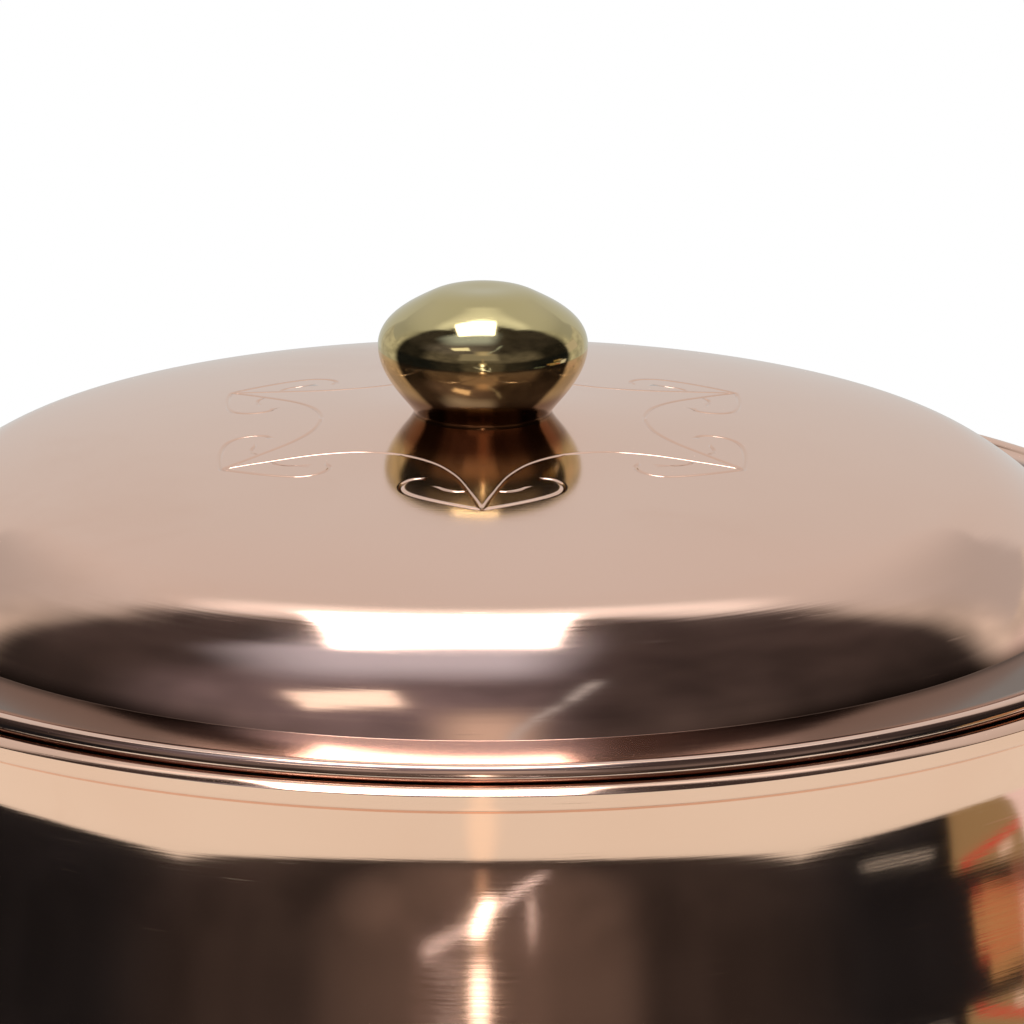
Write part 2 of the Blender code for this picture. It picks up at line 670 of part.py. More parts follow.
def stop_lug(left, right):
    """Lug behind an end knuckle, its face where the open lid's leaf comes to rest."""
    centre = Vector((HINGE_Y, HINGE_Z))
    leaf = offset(lid_leaf_middle(), LEAF_SHEET / 2 + GAP)
    resting = between(leaf, HINGE_Y - STOP_HEIGHT, HINGE_Y, 0)
    face = [centre + Matrix.Rotation(-math.radians(STOP_ANGLE), 2) @ (p - centre) for p in resting]
    square = (face[-1] - centre).normalized()
    along = Vector((-square.y, square.x))
    root = centre + square * (HINGE_PIN_RADIUS + 2 * GAP)
    upper = root + along * HINGE_PIN_RADIUS / 2
    lower = root - along * HINGE_KNUCKLE_RADIUS / 2
    back = offset(face, STOP_THICKNESS)
    section = face[:-1] + [upper, lower] + back[::-1]
    bm = bmesh.new()
    front = bm.faces.new([bm.verts.new((left, p.x, p.y)) for p in section])
    spun = bmesh.ops.extrude_face_region(bm, geom=[front])
    moved = [v for v in spun["geom"] if isinstance(v, bmesh.types.BMVert)]
    bmesh.ops.translate(bm, verts=moved, vec=(right - left, 0, 0))
    return bm


def make_hinge(brass, copper, steel, pivot):
    wall = pot_wall()
    pot_places = []
    for drop, side in zip(POT_LEAF_RIVET_DROPS, LEAF_RIVET_SIDES):
        pot_places.append(rivet_place(wall, POT_HEIGHT - drop, 1, BACK, side * LEAF_RIVET_SPREAD))
    leaf = make_object("hinge_leaf_pot",
                       strap(leaf_section(pot_leaf_middle()), BACK, LEAF_ANGLE, STRAP_STEPS), brass)
    end = HINGE_HALF_LENGTH - KNUCKLE_LENGTH + GAP / 2
    lugs = merged([stop_lug(-HINGE_HALF_LENGTH, -end), stop_lug(end, HINGE_HALF_LENGTH)])
    combine(leaf, make_object("hinge_stop_lugs", lugs), "UNION")
    finish_leaf("hinge_leaf_pot", leaf, (0, 2, 4), pot_places)
    for number, place in enumerate(pot_places, 1):
        make_rivet(f"hinge_pot_rivet_{number}", place, LEAF_SHEET, POT_SHEET, copper)

    top = lid_top()
    lid_places = []
    for inset, side in zip(LID_LEAF_RIVET_INSETS, LEAF_RIVET_SIDES):
        radius = LID_BEAD_CENTRE.x - inset
        lid_places.append(rivet_place(top, radius, 0, BACK, side * LEAF_RIVET_SPREAD))
    leaf = make_object("hinge_leaf_lid",
                       strap(leaf_section(lid_leaf_middle()), BACK, LEAF_ANGLE, STRAP_STEPS), brass, pivot)
    finish_leaf("hinge_leaf_lid", leaf, (1, 3), lid_places, pivot)
    for number, place in enumerate(lid_places, 1):
        make_rivet(f"hinge_lid_rivet_{number}", place, LEAF_SHEET, LID_SHEET, copper, pivot)

    reach = HINGE_HALF_LENGTH + GAP
    outline = [
        Vector((0, -reach - HINGE_PIN_HEAD_HEIGHT)),
        Vector((HINGE_PIN_HEAD_RADIUS, -reach - HINGE_PIN_HEAD_HEIGHT)),
        Vector((HINGE_PIN_HEAD_RADIUS, -reach)),
        Vector((HINGE_PIN_RADIUS, -reach)),
    ]
    outline += [Vector((p.x, -p.y)) for p in outline[::-1]]
    pin = make_object("hinge_pin", turned(outline, BORE_SEGMENTS, closed=False), steel)
    pin.location = (0, HINGE_Y, HINGE_Z)
    pin.rotation_euler = (0, math.pi / 2, 0)
    return [(p, LEAF_SHEET) for p in pot_places], [(p, LEAF_SHEET) for p in lid_places]


def main():
    for obj in list(bpy.data.objects):
        bpy.data.objects.remove(obj, do_unlink=True)

    copper = make_material("polished_copper", (0.86, 0.58, 0.46), 0.12)
    rivet_copper = make_material("rivet_copper", (0.80, 0.50, 0.38), 0.25)
    brass = make_material("polished_brass", (0.80, 0.62, 0.25), 0.12)
    tin = make_material("tinned_copper", (0.72, 0.71, 0.68), 0.30)
    steel = make_material("bright_steel", (0.62, 0.61, 0.59), 0.25)

    pivot = bpy.data.objects.new("lid_pivot", None)
    pivot.location = (0, HINGE_Y, HINGE_Z)
    bpy.context.scene.collection.objects.link(pivot)

    pot_holes = make_handle("right", 1, brass, rivet_copper)
    pot_holes += make_handle("left", -1, brass, rivet_copper)
    hinge_pot_holes, lid_holes = make_hinge(brass, rivet_copper, steel, pivot)

    make_pot_shell(copper, pot_holes + hinge_pot_holes)
    make_wire("pot_rim_wire", POT_BEAD_CENTRE, POT_BEAD_RADIUS - POT_SHEET - GAP, steel)
    make_lid_shell(copper, pivot, lid_holes)
    make_wire("lid_rim_wire", LID_BEAD_CENTRE, LID_BEAD_RADIUS - LID_SHEET - GAP, steel, pivot)
    make_lid_skirt(tin, pivot)
    make_knob(brass, steel, pivot)


main()
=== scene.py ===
import math

import bmesh
import bpy
import numpy as np
from mathutils import Matrix, Vector
from mathutils.geometry import delaunay_2d_cdt
from mathutils.kdtree import KDTree


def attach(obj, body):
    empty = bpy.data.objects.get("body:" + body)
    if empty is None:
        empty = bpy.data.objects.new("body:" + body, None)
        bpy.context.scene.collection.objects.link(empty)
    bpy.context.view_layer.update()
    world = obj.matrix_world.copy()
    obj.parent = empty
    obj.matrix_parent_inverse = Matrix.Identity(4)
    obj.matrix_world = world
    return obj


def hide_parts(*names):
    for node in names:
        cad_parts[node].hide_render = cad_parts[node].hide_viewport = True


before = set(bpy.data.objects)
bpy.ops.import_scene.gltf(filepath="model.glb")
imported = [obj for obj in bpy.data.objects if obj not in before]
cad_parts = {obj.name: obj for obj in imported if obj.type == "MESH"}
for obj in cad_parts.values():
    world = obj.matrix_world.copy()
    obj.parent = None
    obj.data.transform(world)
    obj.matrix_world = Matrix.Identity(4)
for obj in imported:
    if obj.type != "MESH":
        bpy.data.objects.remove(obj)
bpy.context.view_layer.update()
print("frame loaded:", len(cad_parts), "nodes")


# Lines in the radius-height plane, in metres

def polar(centre, radius, degrees):
    angle = math.radians(degrees)
    return centre + radius * Vector((math.cos(angle), math.sin(angle)))


def arc(centre, radius, start, end, steps):
    return [polar(centre, radius, start + (end - start) * i / steps) for i in range(steps + 1)]


def curve(start, startTilt, end, endTilt, steps, shares=(0.36, 0.36)):
    # cubic that leaves and arrives at the given tilts in degrees
    chord = (end - start).length
    first = polar(start, chord * shares[0], startTilt)
    second = polar(end, -chord * shares[1], endTilt)
    points = []
    for i in range(steps + 1):
        t = i / steps
        s = 1 - t
        points.append(s ** 3 * start + 3 * s * s * t * first + 3 * s * t * t * second + t ** 3 * end)
    return points


def chain(*pieces):
    points = list(pieces[0])
    for piece in pieces[1:]:
        points.extend(piece[1:])
    return points


def offset(points, distance):
    # the line moved to its left, with mitred corners
    moved = []
    for i, point in enumerate(points):
        before = points[max(i - 1, 0)]
        after = points[min(i + 1, len(points) - 1)]
        backward = (point - before) if i > 0 else (after - point)
        forward = (after - point) if i < len(points) - 1 else backward
        a = Vector((-backward.y, backward.x)).normalized()
        b = Vector((-forward.y, forward.x)).normalized()
        middle = (a + b).normalized()
        moved.append(point + middle * (distance / max(middle.dot(a), 0.36)))
    return moved


def pointAt(points, value, axis):
    rising = points if points[-1][axis] > points[0][axis] else points[::-1]
    for a, b in zip(rising, rising[1:]):
        if a[axis] <= value <= b[axis]:
            return a.lerp(b, (value - a[axis]) / (b[axis] - a[axis]))
    return rising[-1].copy()


def between(points, low, high, axis):
    rising = points if points[-1][axis] > points[0][axis] else points[::-1]
    inner = [p for p in rising if low < p[axis] < high]
    return [pointAt(rising, low, axis)] + inner + [pointAt(rising, high, axis)]


def outwardAt(points, value, axis):
    # the way off the sheet at a height or radius
    rising = points if points[-1][axis] > points[0][axis] else points[::-1]
    for a, b in zip(rising, rising[1:]):
        if a[axis] <= value <= b[axis]:
            along = (b - a).normalized()
            normal = Vector((along.y, -along.x))
            return normal if normal.x > 0 else -normal
    return Vector((1, 0))


def around(point, angle):
    return Vector((point.x * math.cos(angle), point.x * math.sin(angle), point.y))


# Meshes

def newObject(name, data):
    made = bpy.data.objects.new(name, data)
    bpy.context.scene.collection.objects.link(made)
    return made


def meshFrom(name, bm):
    bmesh.ops.recalc_face_normals(bm, faces=bm.faces)
    mesh = bpy.data.meshes.new(name)
    bm.to_mesh(mesh)
    bm.free()
    return mesh


def newPiece(name, bm, finishes, body, replaced, sharp=40):
    mesh = meshFrom(name, bm)
    mesh.shade_smooth()
    mesh.set_sharp_from_angle(angle=math.radians(sharp))
    for finish in finishes:
        mesh.materials.append(metals[finish])
    piece = newObject(name, mesh)
    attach(piece, body)
    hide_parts(replaced)
    return piece


def joinRings(bm, low, high, finish=0):
    # faces between two rings of vertices, of which one may be a single point
    count = max(len(low), len(high))
    for i in range(count):
        j = (i + 1) % count
        corners = [low[i % len(low)], low[j % len(low)], high[j % len(high)], high[i % len(high)]]
        corners = list(dict.fromkeys(corners))
        if len(corners) > 2:
            bm.faces.new(corners).material_index = finish


def loft(bm, rings):
    # a skin over closed rings, with flat ends
    for low, high in zip(rings, rings[1:]):
        joinRings(bm, low, high)
    bm.faces.new(rings[0][::-1])
    bm.faces.new(rings[-1])
    return bm


def spin(outline, segments, closed=False, finishes=None, bm=None):
    # an outline turned round Z; finishes gives the material number of each stretch
    bm = bm or bmesh.new()
    rings = []
    for p in outline:
        count = segments if p.x >= 1e-7 else 1
        rings.append([bm.verts.new(around(p, 2 * math.pi * i / count)) for i in range(count)])
    pairs = list(zip(rings, rings[1:]))
    if closed:
        pairs.append((rings[-1], rings[0]))
    for number, (low, high) in enumerate(pairs):
        joinRings(bm, low, high, finishes[number] if finishes else 0)
    return bm


def strap(section, centreAngle, halfAngle, steps):
    # a closed section turned through part of a turn
    bm = bmesh.new()
    angles = [centreAngle - halfAngle + 2 * halfAngle * step / steps for step in range(steps + 1)]
    return loft(bm, [[bm.verts.new(around(p, angle)) for p in section] for angle in angles])


def roundTop(radius, base, height, edge, steps):
    # outline of a low dome over a straight edge, which takes the given share of the height
    points = []
    for i in range(steps + 1):
        a = math.pi / 2 * i / steps
        points.append(Vector((radius * math.cos(a), base + height * (edge + (1 - edge) * math.sin(a)))))
    points[-1].x = 0
    return points


def rod(radius, start, end, segments):
    bm = bmesh.new()
    axis = end - start
    turn = axis.to_track_quat("Z", "Y").to_matrix().to_4x4()
    place = Matrix.Translation(start.lerp(end, 0.5)) @ turn
    bmesh.ops.create_cone(bm, cap_ends=True, segments=segments, radius1=radius, radius2=radius,
                          depth=axis.length, matrix=place)
    return bm


def block(low, high):
    bm = bmesh.new()
    place = Matrix.Translation(low.lerp(high, 0.5)) @ Matrix.Diagonal((*(high - low), 1))
    bmesh.ops.create_cube(bm, size=1.0, matrix=place)
    return bm


def merged(parts):
    whole = bmesh.new()
    for part in parts:
        mesh = meshFrom("loosePart", part)
        whole.from_mesh(mesh)
        bpy.data.meshes.remove(mesh)
    return whole


def cutTogether(base, steps):
    # solid steps of union or difference, one after another, as one mesh
    body = newObject("workBody", meshFrom("workBody", base))
    tools = []
    for operation, bm in steps:
        tool = newObject("workTool", meshFrom("workTool", bm))
        tools.append(tool)
        modifier = body.modifiers.new(tool.name, "BOOLEAN")
        modifier.object = tool
        modifier.operation = operation
        modifier.solver = "EXACT"
    done = bmesh.new()
    done.from_object(body, bpy.context.evaluated_depsgraph_get())
    for obj in [body] + tools:
        mesh = obj.data
        bpy.data.objects.remove(obj, do_unlink=True)
        bpy.data.meshes.remove(mesh)
    return done


# Node helpers

def node(tree, kind, **values):
    made = tree.nodes.new(kind)
    for key, value in values.items():
        setattr(made, key, value)
    return made


def feed(tree, value, socket):
    # a number, a colour or the output of another node goes into a socket
    if isinstance(value, (int, float)):
        socket.default_value = value
    elif isinstance(value, (tuple, list)):
        socket.default_value = (*value, 1.0)
    else:
        tree.links.new(value, socket)


def fill(tree, made, **values):
    for label, value in values.items():
        feed(tree, value, made.inputs[label])
    return made


def maths(tree, operation, first, second=None, clamp=False):
    made = node(tree, "ShaderNodeMath", operation=operation, use_clamp=clamp)
    feed(tree, first, made.inputs[0])
    if second is not None:
        feed(tree, second, made.inputs[1])
    return made.outputs[0]


def plus(tree, first, second, clamp=False):
    return maths(tree, "ADD", first, second, clamp)


def minus(tree, first, second):
    return maths(tree, "SUBTRACT", first, second)


def times(tree, first, second, clamp=False):
    return maths(tree, "MULTIPLY", first, second, clamp)


def spread(tree, value, low, high, toLow=0.0, toHigh=1.0, smooth=True):
    made = node(tree, "ShaderNodeMapRange", interpolation_type="SMOOTHSTEP" if smooth else "LINEAR")
    ends = {"From Min": low, "From Max": high, "To Min": toLow, "To Max": toHigh}
    return fill(tree, made, Value=value, **ends).outputs["Result"]


def blendColour(tree, mask, first, second):
    made = node(tree, "ShaderNodeMix", data_type="RGBA")
    return fill(tree, made, Factor=mask, A=first, B=second).outputs["Result"]


def noise(tree, **values):
    return fill(tree, node(tree, "ShaderNodeTexNoise"), **values).outputs["Fac"]


def partsOf(tree, vector):
    return fill(tree, node(tree, "ShaderNodeSeparateXYZ"), Vector=vector).outputs


def objectPlace(tree):
    # the place on the object, whole and in its three parts
    place = node(tree, "ShaderNodeTexCoord").outputs["Object"]
    return place, partsOf(tree, place)


def newGroup(name, inputs, result, kind):
    # a group's tree, what comes into it and the socket of its one result
    tree = bpy.data.node_groups.new(name, "ShaderNodeTree")
    for label, inputKind, value in inputs:
        socket = tree.interface.new_socket(name=label, in_out="INPUT", socket_type=inputKind)
        if value is not None:
            socket.default_value = value
    tree.interface.new_socket(name=result, in_out="OUTPUT", socket_type=kind)
    return tree, node(tree, "NodeGroupInput").outputs, node(tree, "NodeGroupOutput").inputs[result]


def placed(tree, group, **values):
    # the result of a group
    return fill(tree, node(tree, "ShaderNodeGroup", node_tree=group), **values).outputs[0]


groupLooks = {
    "wander": (9.0, 3.0),                 # scale and strength of the sway in the turning lines
    "lineRange": (0.3, 0.7),              # noise where the lines start and are full
    "markRange": (0.85, 0.6, 5.0),        # noise where marks start, less with their share, their sharpness
    "scratchRange": (0.66, 0.78),
    "driftScale": 14.0,
    "driftRange": (0.35, 0.7),
}


def makeTurningLines():
    # fine lines left by turning and buffing, for a position across them
    tree, given, mask = newGroup("turningLines", [
        ("Across", "NodeSocketFloat", None),
        ("Pitch", "NodeSocketFloat", 0.0004),
        ("Sway", "NodeSocketVector", None),
    ], "Mask", "NodeSocketFloat")
    scale, strength = groupLooks["wander"]
    wander = times(tree, noise(tree, Vector=given["Sway"], Scale=scale, Detail=1.0), strength)
    steps = plus(tree, maths(tree, "DIVIDE", given["Across"], given["Pitch"]), wander)
    lines = node(tree, "ShaderNodeTexNoise", noise_dimensions="1D")
    fill(tree, lines, W=steps, Scale=1.0, Detail=4.0, Roughness=0.7)
    feed(tree, spread(tree, lines.outputs["Fac"], *groupLooks["lineRange"], smooth=False), mask)
    return tree


def makeHandlingMarks():
    # cloudy patches from wiping and fingers
    tree, given, mask = newGroup("handlingMarks", [
        ("Place", "NodeSocketVector", None),
        ("Size", "NodeSocketFloat", 0.03),
        ("Share", "NodeSocketFloat", 0.5),
    ], "Mask", "NodeSocketFloat")
    scale = maths(tree, "DIVIDE", 1.0, given["Size"])
    cloud = noise(tree, Vector=given["Place"], Scale=scale, Detail=5.0, Roughness=0.62, Distortion=0.5)
    start, lower, sharpness = groupLooks["markRange"]
    start = minus(tree, start, times(tree, given["Share"], lower))
    feed(tree, times(tree, minus(tree, cloud, start), sharpness, clamp=True), mask)
    return tree


def makeFineScratches():
    # thin scratches that run nearly one way
    tree, given, mask = newGroup("fineScratches", [
        ("Place", "NodeSocketVector", None),
        ("Length", "NodeSocketFloat", 0.02),
        ("Width", "NodeSocketFloat", 0.0004),
    ], "Mask", "NodeSocketFloat")
    parts = partsOf(tree, given["Place"])
    joined = node(tree, "ShaderNodeCombineXYZ")
    for axis, size in (("X", "Length"), ("Y", "Width"), ("Z", "Length")):
        feed(tree, maths(tree, "DIVIDE", parts[axis], given[size]), joined.inputs[axis])
    streaks = noise(tree, Vector=joined.outputs[0], Scale=1.0, Detail=2.0)
    feed(tree, spread(tree, streaks, *groupLooks["scratchRange"]), mask)
    return tree


def makeAgedColour():
    # metal colour that shifts towards a tarnished tint under a mask, with a slow drift of its own
    tree, given, colour = newGroup("agedColour", [
        ("Fresh", "NodeSocketColor", None),
        ("Aged", "NodeSocketColor", None),
        ("Mask", "NodeSocketFloat", 0.0),
        ("Drift", "NodeSocketFloat", 0.2),
        ("Place", "NodeSocketVector", None),
    ], "Colour", "NodeSocketColor")
    slow = noise(tree, Vector=given["Place"], Scale=groupLooks["driftScale"], Detail=3.0)
    drift = times(tree, spread(tree, slow, *groupLooks["driftRange"]), given["Drift"])
    total = plus(tree, drift, given["Mask"], clamp=True)
    feed(tree, blendColour(tree, total, given["Fresh"], given["Aged"]), colour)
    return tree


groups = {
    "lines": makeTurningLines(),
    "marks": makeHandlingMarks(),
    "scratches": makeFineScratches(),
    "aged": makeAgedColour(),
}
print("node groups made")

# base colour fresh and tarnished, roughness of the metal, its marks and lines, and how much of each
metalLooks = {
    "polishedPotCopper": {"fresh": (0.93, 0.61, 0.47), "aged": (0.80, 0.46, 0.33), "rough": 0.07,
                          "markRough": 0.05, "lineRough": 0.03, "linePitch": 0.0007, "bump": 0.012,
                          "across": "height", "drift": 0.25, "marks": 0.45},
    "polishedLidCopper": {"fresh": (0.93, 0.63, 0.51), "aged": (0.85, 0.53, 0.40), "rough": 0.085,
                          "markRough": 0.06, "lineRough": 0.03, "linePitch": 0.0006, "bump": 0.010,
                          "across": "radius", "drift": 0.25, "marks": 0.5},
    "turnedBrass": {"fresh": (0.62, 0.52, 0.27), "aged": (0.48, 0.36, 0.15), "rough": 0.06,
                    "markRough": 0.05, "lineRough": 0.03, "linePitch": 0.0005, "bump": 0.010,
                    "across": "height", "drift": 0.3, "marks": 0.4},
    "castBrass": {"fresh": (0.80, 0.62, 0.30), "aged": (0.56, 0.38, 0.15), "rough": 0.13,
                  "markRough": 0.12, "lineRough": 0.0, "linePitch": 0.002, "bump": 0.05,
                  "across": "height", "drift": 0.5, "marks": 0.5},
    "hammeredCopper": {"fresh": (0.88, 0.54, 0.40), "aged": (0.58, 0.30, 0.20), "rough": 0.16,
                       "markRough": 0.15, "lineRough": 0.0, "linePitch": 0.002, "bump": 0.12,
                       "across": "height", "drift": 0.6, "marks": 0.5},
    "wipedTin": {"fresh": (0.74, 0.73, 0.70), "aged": (0.52, 0.50, 0.46), "rough": 0.24,
                 "markRough": 0.16, "lineRough": 0.10, "linePitch": 0.0012, "bump": 0.10,
                 "across": "radius", "drift": 0.6, "marks": 0.55, "anisotropic": 0.3},
    "brightSteel": {"fresh": (0.64, 0.63, 0.61), "aged": (0.44, 0.42, 0.40), "rough": 0.18,
                    "markRough": 0.12, "lineRough": 0.06, "linePitch": 0.0004, "bump": 0.03,
                    "across": "height", "drift": 0.4, "marks": 0.4},
}

metalWear = {
    "markSize": 0.045,
    "markAge": 0.35,                      # how far marks and grooves shift the colour
    "grooveAge": 0.5,
    "scratchRadius": 0.12,                # radius where scratches have just this length
    "scratchLength": 0.018,
    "scratchWidth": 0.00045,
    "scratchRough": 0.12,
    "lineHeight": 0.5,
    "scratchHeight": -0.6,
    "bumpDistance": 0.0004,
}

# painted shade in the corner between the dome and the ledge of the lid, at its sides only
lidRecessShade = {
    "inner": (0.1085, 0.1105),            # radii where it starts and is full
    "outer": (0.1236, 0.1212),            # radii where it ends and is full
    "sides": (0.022, 0.055),              # distances from the middle plane where it starts and is full
    "tint": (0.18, 0.11, 0.08),
}

knobFootShade = {
    "heights": (0.1863, 0.1833),          # where the painted shade round the knob's foot starts and is full
    "tint": (0.20, 0.12, 0.06),
}


def makeMetal(name, groovePatinaAndRecessShade, paintedFootShade):
    look, wear = metalLooks[name], metalWear
    material = bpy.data.materials.new(name)
    material.use_nodes = True
    tree = material.node_tree
    place, parts = objectPlace(tree)
    squares = [maths(tree, "POWER", parts[axis], 2.0) for axis in "XY"]
    radius = maths(tree, "SQRT", plus(tree, *squares))
    across = radius if look["across"] == "radius" else parts["Z"]

    lines = placed(tree, groups["lines"], Across=across, Pitch=look["linePitch"], Sway=place)
    marks = placed(tree, groups["marks"], Place=place, Size=wear["markSize"], Share=look["marks"])
    angle = maths(tree, "ARCTAN2", parts["Y"], parts["X"])
    unrolled = node(tree, "ShaderNodeCombineXYZ")
    fill(tree, unrolled, X=times(tree, angle, wear["scratchRadius"]), Y=across)
    scratches = placed(tree, groups["scratches"], Place=unrolled.outputs[0],
                       Length=wear["scratchLength"], Width=wear["scratchWidth"])

    worn = times(tree, marks, wear["markAge"])
    if groovePatinaAndRecessShade:
        depth = node(tree, "ShaderNodeAttribute", attribute_name="grooveDepth").outputs["Fac"]
        worn = plus(tree, worn, times(tree, depth, wear["grooveAge"]), clamp=True)
    colour = placed(tree, groups["aged"], Fresh=look["fresh"], Aged=look["aged"], Mask=worn,
                    Drift=look["drift"], Place=place)
    if groovePatinaAndRecessShade:
        # painted shade: the lid's colour turns to the dark tint in the corner between dome and ledge, at its
        # sides
        recessShade = times(tree, spread(tree, radius, *lidRecessShade["inner"]),
                       spread(tree, radius, *lidRecessShade["outer"]))
        sides = spread(tree, maths(tree, "ABSOLUTE", parts["X"]), *lidRecessShade["sides"])
        colour = blendColour(tree, times(tree, recessShade, sides), colour, lidRecessShade["tint"])
    if paintedFootShade:
        # painted shade: the knob's colour turns to the dark tint near its foot on the lid
        colour = blendColour(tree, spread(tree, parts["Z"], *knobFootShade["heights"]), colour, knobFootShade["tint"])

    rough = plus(tree, times(tree, marks, look["markRough"]), times(tree, lines, look["lineRough"]))
    rough = plus(tree, rough, times(tree, scratches, wear["scratchRough"]))
    height = plus(tree, times(tree, lines, wear["lineHeight"]), times(tree, scratches, wear["scratchHeight"]))
    bump = node(tree, "ShaderNodeBump")
    fill(tree, bump, Strength=look["bump"], Distance=wear["bumpDistance"], Height=height)
    fill(tree, tree.nodes["Principled BSDF"], Metallic=1.0, Anisotropic=look.get("anisotropic", 0.0),
         Roughness=plus(tree, rough, look["rough"]), Normal=bump.outputs["Normal"], **{"Base Color": colour})
    return material


metals = {name: makeMetal(name, name == "polishedLidCopper", name == "turnedBrass")
          for name in metalLooks}
print("materials made:", len(metals))


# Sizes that the pot and the lid share
potSizes = {
    "height": 0.150,
    "rimRadius": 0.131,
    "sheet": 0.0010,
    "beadRadius": 0.00235,
    "lipDrop": 0.0042,
    "lipLean": 12.0,
    "neckInset": 0.0019,
    "neckDrop": 0.0158,
    "bellySwell": 0.0050,
    "bellyDrop": 0.060,
    "footTaper": 0.0030,
    "footTilt": 86.0,
    "cornerHeight": 0.034,
    "cornerReach": 0.030,
    "cornerShares": (0.55, 0.50),
    "curlEnd": -110.0,
    "wallSteps": (18, 20, 24, 10),        # points up the wall: corner, belly, neck and lip
    "floorRings": (0.06, 0.03, 0.0),
    "curlSteps": 24,
    "segments": 288,
    "gap": 0.0003,
}
lidSizes = {
    "sheet": 0.0008,
    "beadRadius": 0.00165,
    "beadInset": 0.0023,
    "rise": 0.0303,
    "pad": (0.0128, -5.5),                # flat seat under the knob: radius, tilt of the dome at its edge
    # inset from the bead, height over the seat, tilt, and the reach of the curve that leads there
    "crown": (0.0384, 0.0212, -14.0, (0.36, 0.25)),
    "knee": (0.02685, 0.0150, -37.0),
    "foot": (0.01632, 0.00244, -60.0),
    "flange": (0.01624, 0.00238, -2.0),
    "valley": (0.0039, 0.0019, -2.0),
    "curlStart": 150.0,
    "curlEnd": -140.0,
    "boreRadius": 0.0023,
    "weld": 2e-6,                         # distance within which the engraved band joins the plain metal
    "topSteps": (4, 50, 22, 24, 4, 12),   # points along the top, from the pad to the valley
    "curlSteps": (56, 20),
    "segments": 288,
    "plainInside": 0.0235,                # the engraved band lies between these two radii
    "plainOutside": 0.0570,
}

gap = potSizes["gap"]
potBead = Vector((potSizes["rimRadius"] - potSizes["beadRadius"],
                  potSizes["height"] - potSizes["beadRadius"]))
potLip = potBead.x - potSizes["beadRadius"] + potSizes["sheet"]
potNeck = potLip - potSizes["neckInset"]
potBelly = potNeck + potSizes["bellySwell"]
potFoot = potBelly - potSizes["footTaper"]
beadReach = potSizes["beadRadius"] + lidSizes["beadRadius"] + gap
lidBead = potBead + Vector((-lidSizes["beadInset"], math.sqrt(beadReach ** 2 - lidSizes["beadInset"] ** 2)))
lidSeat = lidBead.y - lidSizes["beadRadius"]
lidApex = lidSeat + lidSizes["rise"]


def potWall():
    p = potSizes
    cornerSteps, bellySteps, neckSteps, lipSteps = p["wallSteps"]
    base = Vector((potFoot - p["cornerReach"], 0))
    foot = Vector((potFoot, p["cornerHeight"]))
    belly = Vector((potBelly, p["height"] - p["bellyDrop"]))
    neck = Vector((potNeck, p["height"] - p["neckDrop"]))
    lip = Vector((potLip, p["height"] - p["lipDrop"]))
    return chain(
        curve(base, 0, foot, p["footTilt"], cornerSteps, p["cornerShares"]),
        curve(foot, p["footTilt"], belly, 90, bellySteps),
        curve(belly, 90, neck, 90, neckSteps),
        curve(neck, 90, lip, 90 - p["lipLean"], lipSteps),
    )


def lidTop(detail=1):
    steps = [count * detail for count in lidSizes["topSteps"]]
    padRadius, tilt = lidSizes["pad"]
    apex = Vector((lidSizes["boreRadius"], lidApex))
    point = Vector((padRadius, lidApex))
    stretches = [[apex.lerp(point, i / steps[0]) for i in range(steps[0] + 1)]]
    for word, count in zip(("crown", "knee", "foot", "flange", "valley"), steps[1:]):
        inset, height, nextTilt, *shares = lidSizes[word]
        following = Vector((lidBead.x - inset, lidSeat + height))
        stretches.append(curve(point, tilt, following, nextTilt, count, *shares))
        point, tilt = following, nextTilt
    return chain(*stretches)


wallLine = potWall()
topLine = lidTop()


# The camera looks at the lid from the photo's height and distance
cameraSettings = {
    "target": (0.0052, 0.0, 0.0114),      # height over the lid's seat
    "distance": 1.400,
    "elevation": 15.5,
    "lens": 273.8,
    "sensor": 36.0,
    "clip": (0.05, 50.0),
}


def makeCamera():
    c = cameraSettings
    lens = bpy.data.cameras.new("photoCamera")
    lens.lens = c["lens"]
    lens.sensor_width = c["sensor"]
    lens.clip_start, lens.clip_end = c["clip"]
    camera = newObject("photoCamera", lens)
    angle = math.radians(c["elevation"])
    away = Vector((0, -math.cos(angle), math.sin(angle)))
    camera.location = Vector((0, 0, lidSeat)) + Vector(c["target"]) + away * c["distance"]
    camera.rotation_euler = (-away).to_track_quat("-Z", "Y").to_euler()
    bpy.context.scene.camera = camera


makeCamera()
print("camera set")


# The pot's shell and the wire in its rim
beadShape = {
    "roundTo": -40.0,                     # the roll is round below this angle and above the next
    "roundFrom": 110.0,
    "faceLow": (0.925, -0.12),            # flat outer face, in shares of the bead's radius
    "faceHigh": (1.0, 0.46),
    "faceTilt": 82.0,
    "shoulder": (0.975, 0.53),
    "shoulderTilt": 145.0,
    "steps": (14, 8, 5, 12, 10),          # points along each stretch of the roll
}


def beadSkin(centre, radius, low, high):
    # the wired roll, dressed flat on its outside, from the low angle round to the high one
    b = beadShape
    steps = b["steps"]
    words = ("faceLow", "faceHigh", "shoulder")
    faceLow, faceHigh, shoulder = (centre + radius * Vector(b[word]) for word in words)
    start = polar(centre, radius, b["roundTo"])
    end = polar(centre, radius, b["roundFrom"])
    return chain(
        arc(centre, radius, low, b["roundTo"], steps[0]),
        curve(start, b["roundTo"] + 90, faceLow, b["faceTilt"], steps[1]),
        [faceLow, faceHigh],
        curve(faceHigh, b["faceTilt"], shoulder, b["shoulderTilt"], steps[2], (0.55, 0.55)),
        curve(shoulder, b["shoulderTilt"], end, b["roundFrom"] + 90, steps[3]),
        arc(centre, radius, b["roundFrom"], high, steps[4]),
    )


